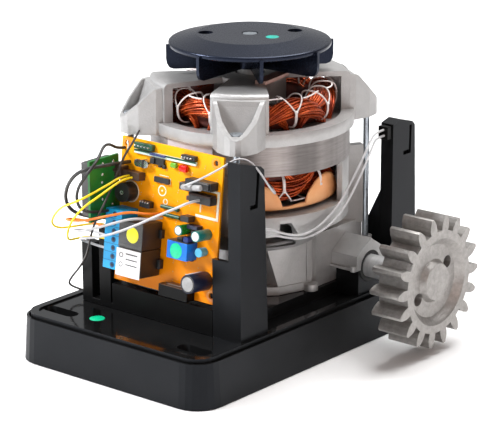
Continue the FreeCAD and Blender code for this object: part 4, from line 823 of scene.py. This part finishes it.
def white_floor():
    """A large pale floor just under the object."""
    size, drop = 3000.0, -0.4
    mesh = bpy.data.meshes.new("floor")
    corners = ((-size, -size, drop), (size, -size, drop), (size, size, drop), (-size, size, drop))
    mesh.from_pydata([tuple(c * MM for c in corner) for corner in corners], [], [(0, 1, 2, 3)])
    floor = bpy.data.objects.new("floor", mesh)
    bpy.context.scene.collection.objects.link(floor)
    material, tree, shader = new_material("floor_white")
    tree.links.new(drift(tree, noise(tree, 2.0), grey(0.93), grey(0.97)), shader.inputs["Base Color"])
    shader.inputs["Roughness"].default_value = 0.7
    mesh.materials.append(material)


def studio_sky():
    """A sky that is white towards -X and dims to a warm grey towards +X."""
    world = bpy.data.worlds.new("studio")
    bpy.context.scene.world = world
    world.use_nodes = True
    tree = world.node_tree
    background = tree.nodes["Background"]
    across = axes(tree, "ShaderNodeTexCoord", "Generated")["X"]
    tint = drift(tree, across, (1.0, 1.0, 1.0), (0.52, 0.45, 0.43), (0.0, 0.75))
    tree.links.new(tint, background.inputs["Color"])
    background.inputs["Strength"].default_value = 0.46
    bpy.context.scene.view_settings.view_transform = "Standard"


def studio_lamps():
    """A key light from the front left, a weak warm fill from the right and a broad light from above.  Each is
    name, place in metres, width in metres, power in watts and tint, and looks at the middle of the object."""
    target = Vector((0, 0, 0.08))
    lamps = (("key", (-0.85, -0.95, 1.1), 0.4, 37.0, (0.96, 0.97, 1.0)),
             ("fill", (1.35, -0.65, 0.7), 0.8, 3.5, (1.0, 0.74, 0.64)),
             ("top", (0.1, 0.45, 1.4), 1.1, 30.0, (1, 1, 1)))
    for name, place, width, power, tint in lamps:
        lamp = bpy.data.lights.new(name, "AREA")
        lamp.shape = "SQUARE"
        lamp.size = width
        lamp.energy = power
        lamp.color = tint
        holder = bpy.data.objects.new(name, lamp)
        bpy.context.scene.collection.objects.link(holder)
        holder.location = place
        holder.rotation_euler = (target - Vector(place)).to_track_quat("-Z", "Y").to_euler()


def camera():
    """A long lens at the front right, a little above the object."""
    azimuth, elevation, roll = math.radians(39.8), math.radians(17.0), math.radians(-0.2)
    distance, sideways, target_z = 1434.6, -0.29, 75.8
    back = np.array([math.sin(azimuth) * math.cos(elevation), -math.cos(azimuth) * math.cos(elevation),
                     math.sin(elevation)])
    right = np.array([math.cos(azimuth), math.sin(azimuth), 0.0])
    up = np.cross(back, right)
    place = right * sideways + np.array([MOTOR_X, 0.0, target_z]) + back * distance
    columns = np.stack([right * math.cos(roll) + up * math.sin(roll),
                        up * math.cos(roll) - right * math.sin(roll), back], 1)
    data = bpy.data.cameras.new("camera")
    data.sensor_width = 36.0
    data.lens = 172.8
    data.clip_start, data.clip_end = 0.1, 20.0
    holder = bpy.data.objects.new("camera", data)
    bpy.context.scene.collection.objects.link(holder)
    holder.matrix_world = Matrix.Translation(Vector(place * MM)) @ Matrix(columns.tolist()).to_4x4()
    bpy.context.scene.camera = holder


finish_packed_solids()

black_cables()
yellow_wires()
motor_wires()
sensor_wires()
cutout_wire()

coil_ends("upper_coils", "upper_winding", root=138.0, tip=158.4, phase=0.35)
coil_ends("lower_coils", "lower_winding", root=117.0, tip=96.2, phase=0.1)
lacing("upper_lacing", low=140.5, high=158.9, upward=1.0, start=0.2)
lacing("lower_lacing", low=96.4, high=114.5, upward=-1.0, start=0.05)
paper_cuffs()

terminal_details()
motor_relay_details()
lamp_relay_details()
lamps_and_buzzer()
crystal_and_headers()
plugs()
printing()
aerial_block()
capacitor_details()
other_board_parts()
solder_pads()

round_stickers()
receiver_solder()
rounded_edges()

white_floor()
studio_sky()
studio_lamps()
camera()

bpy.context.view_layer.update()
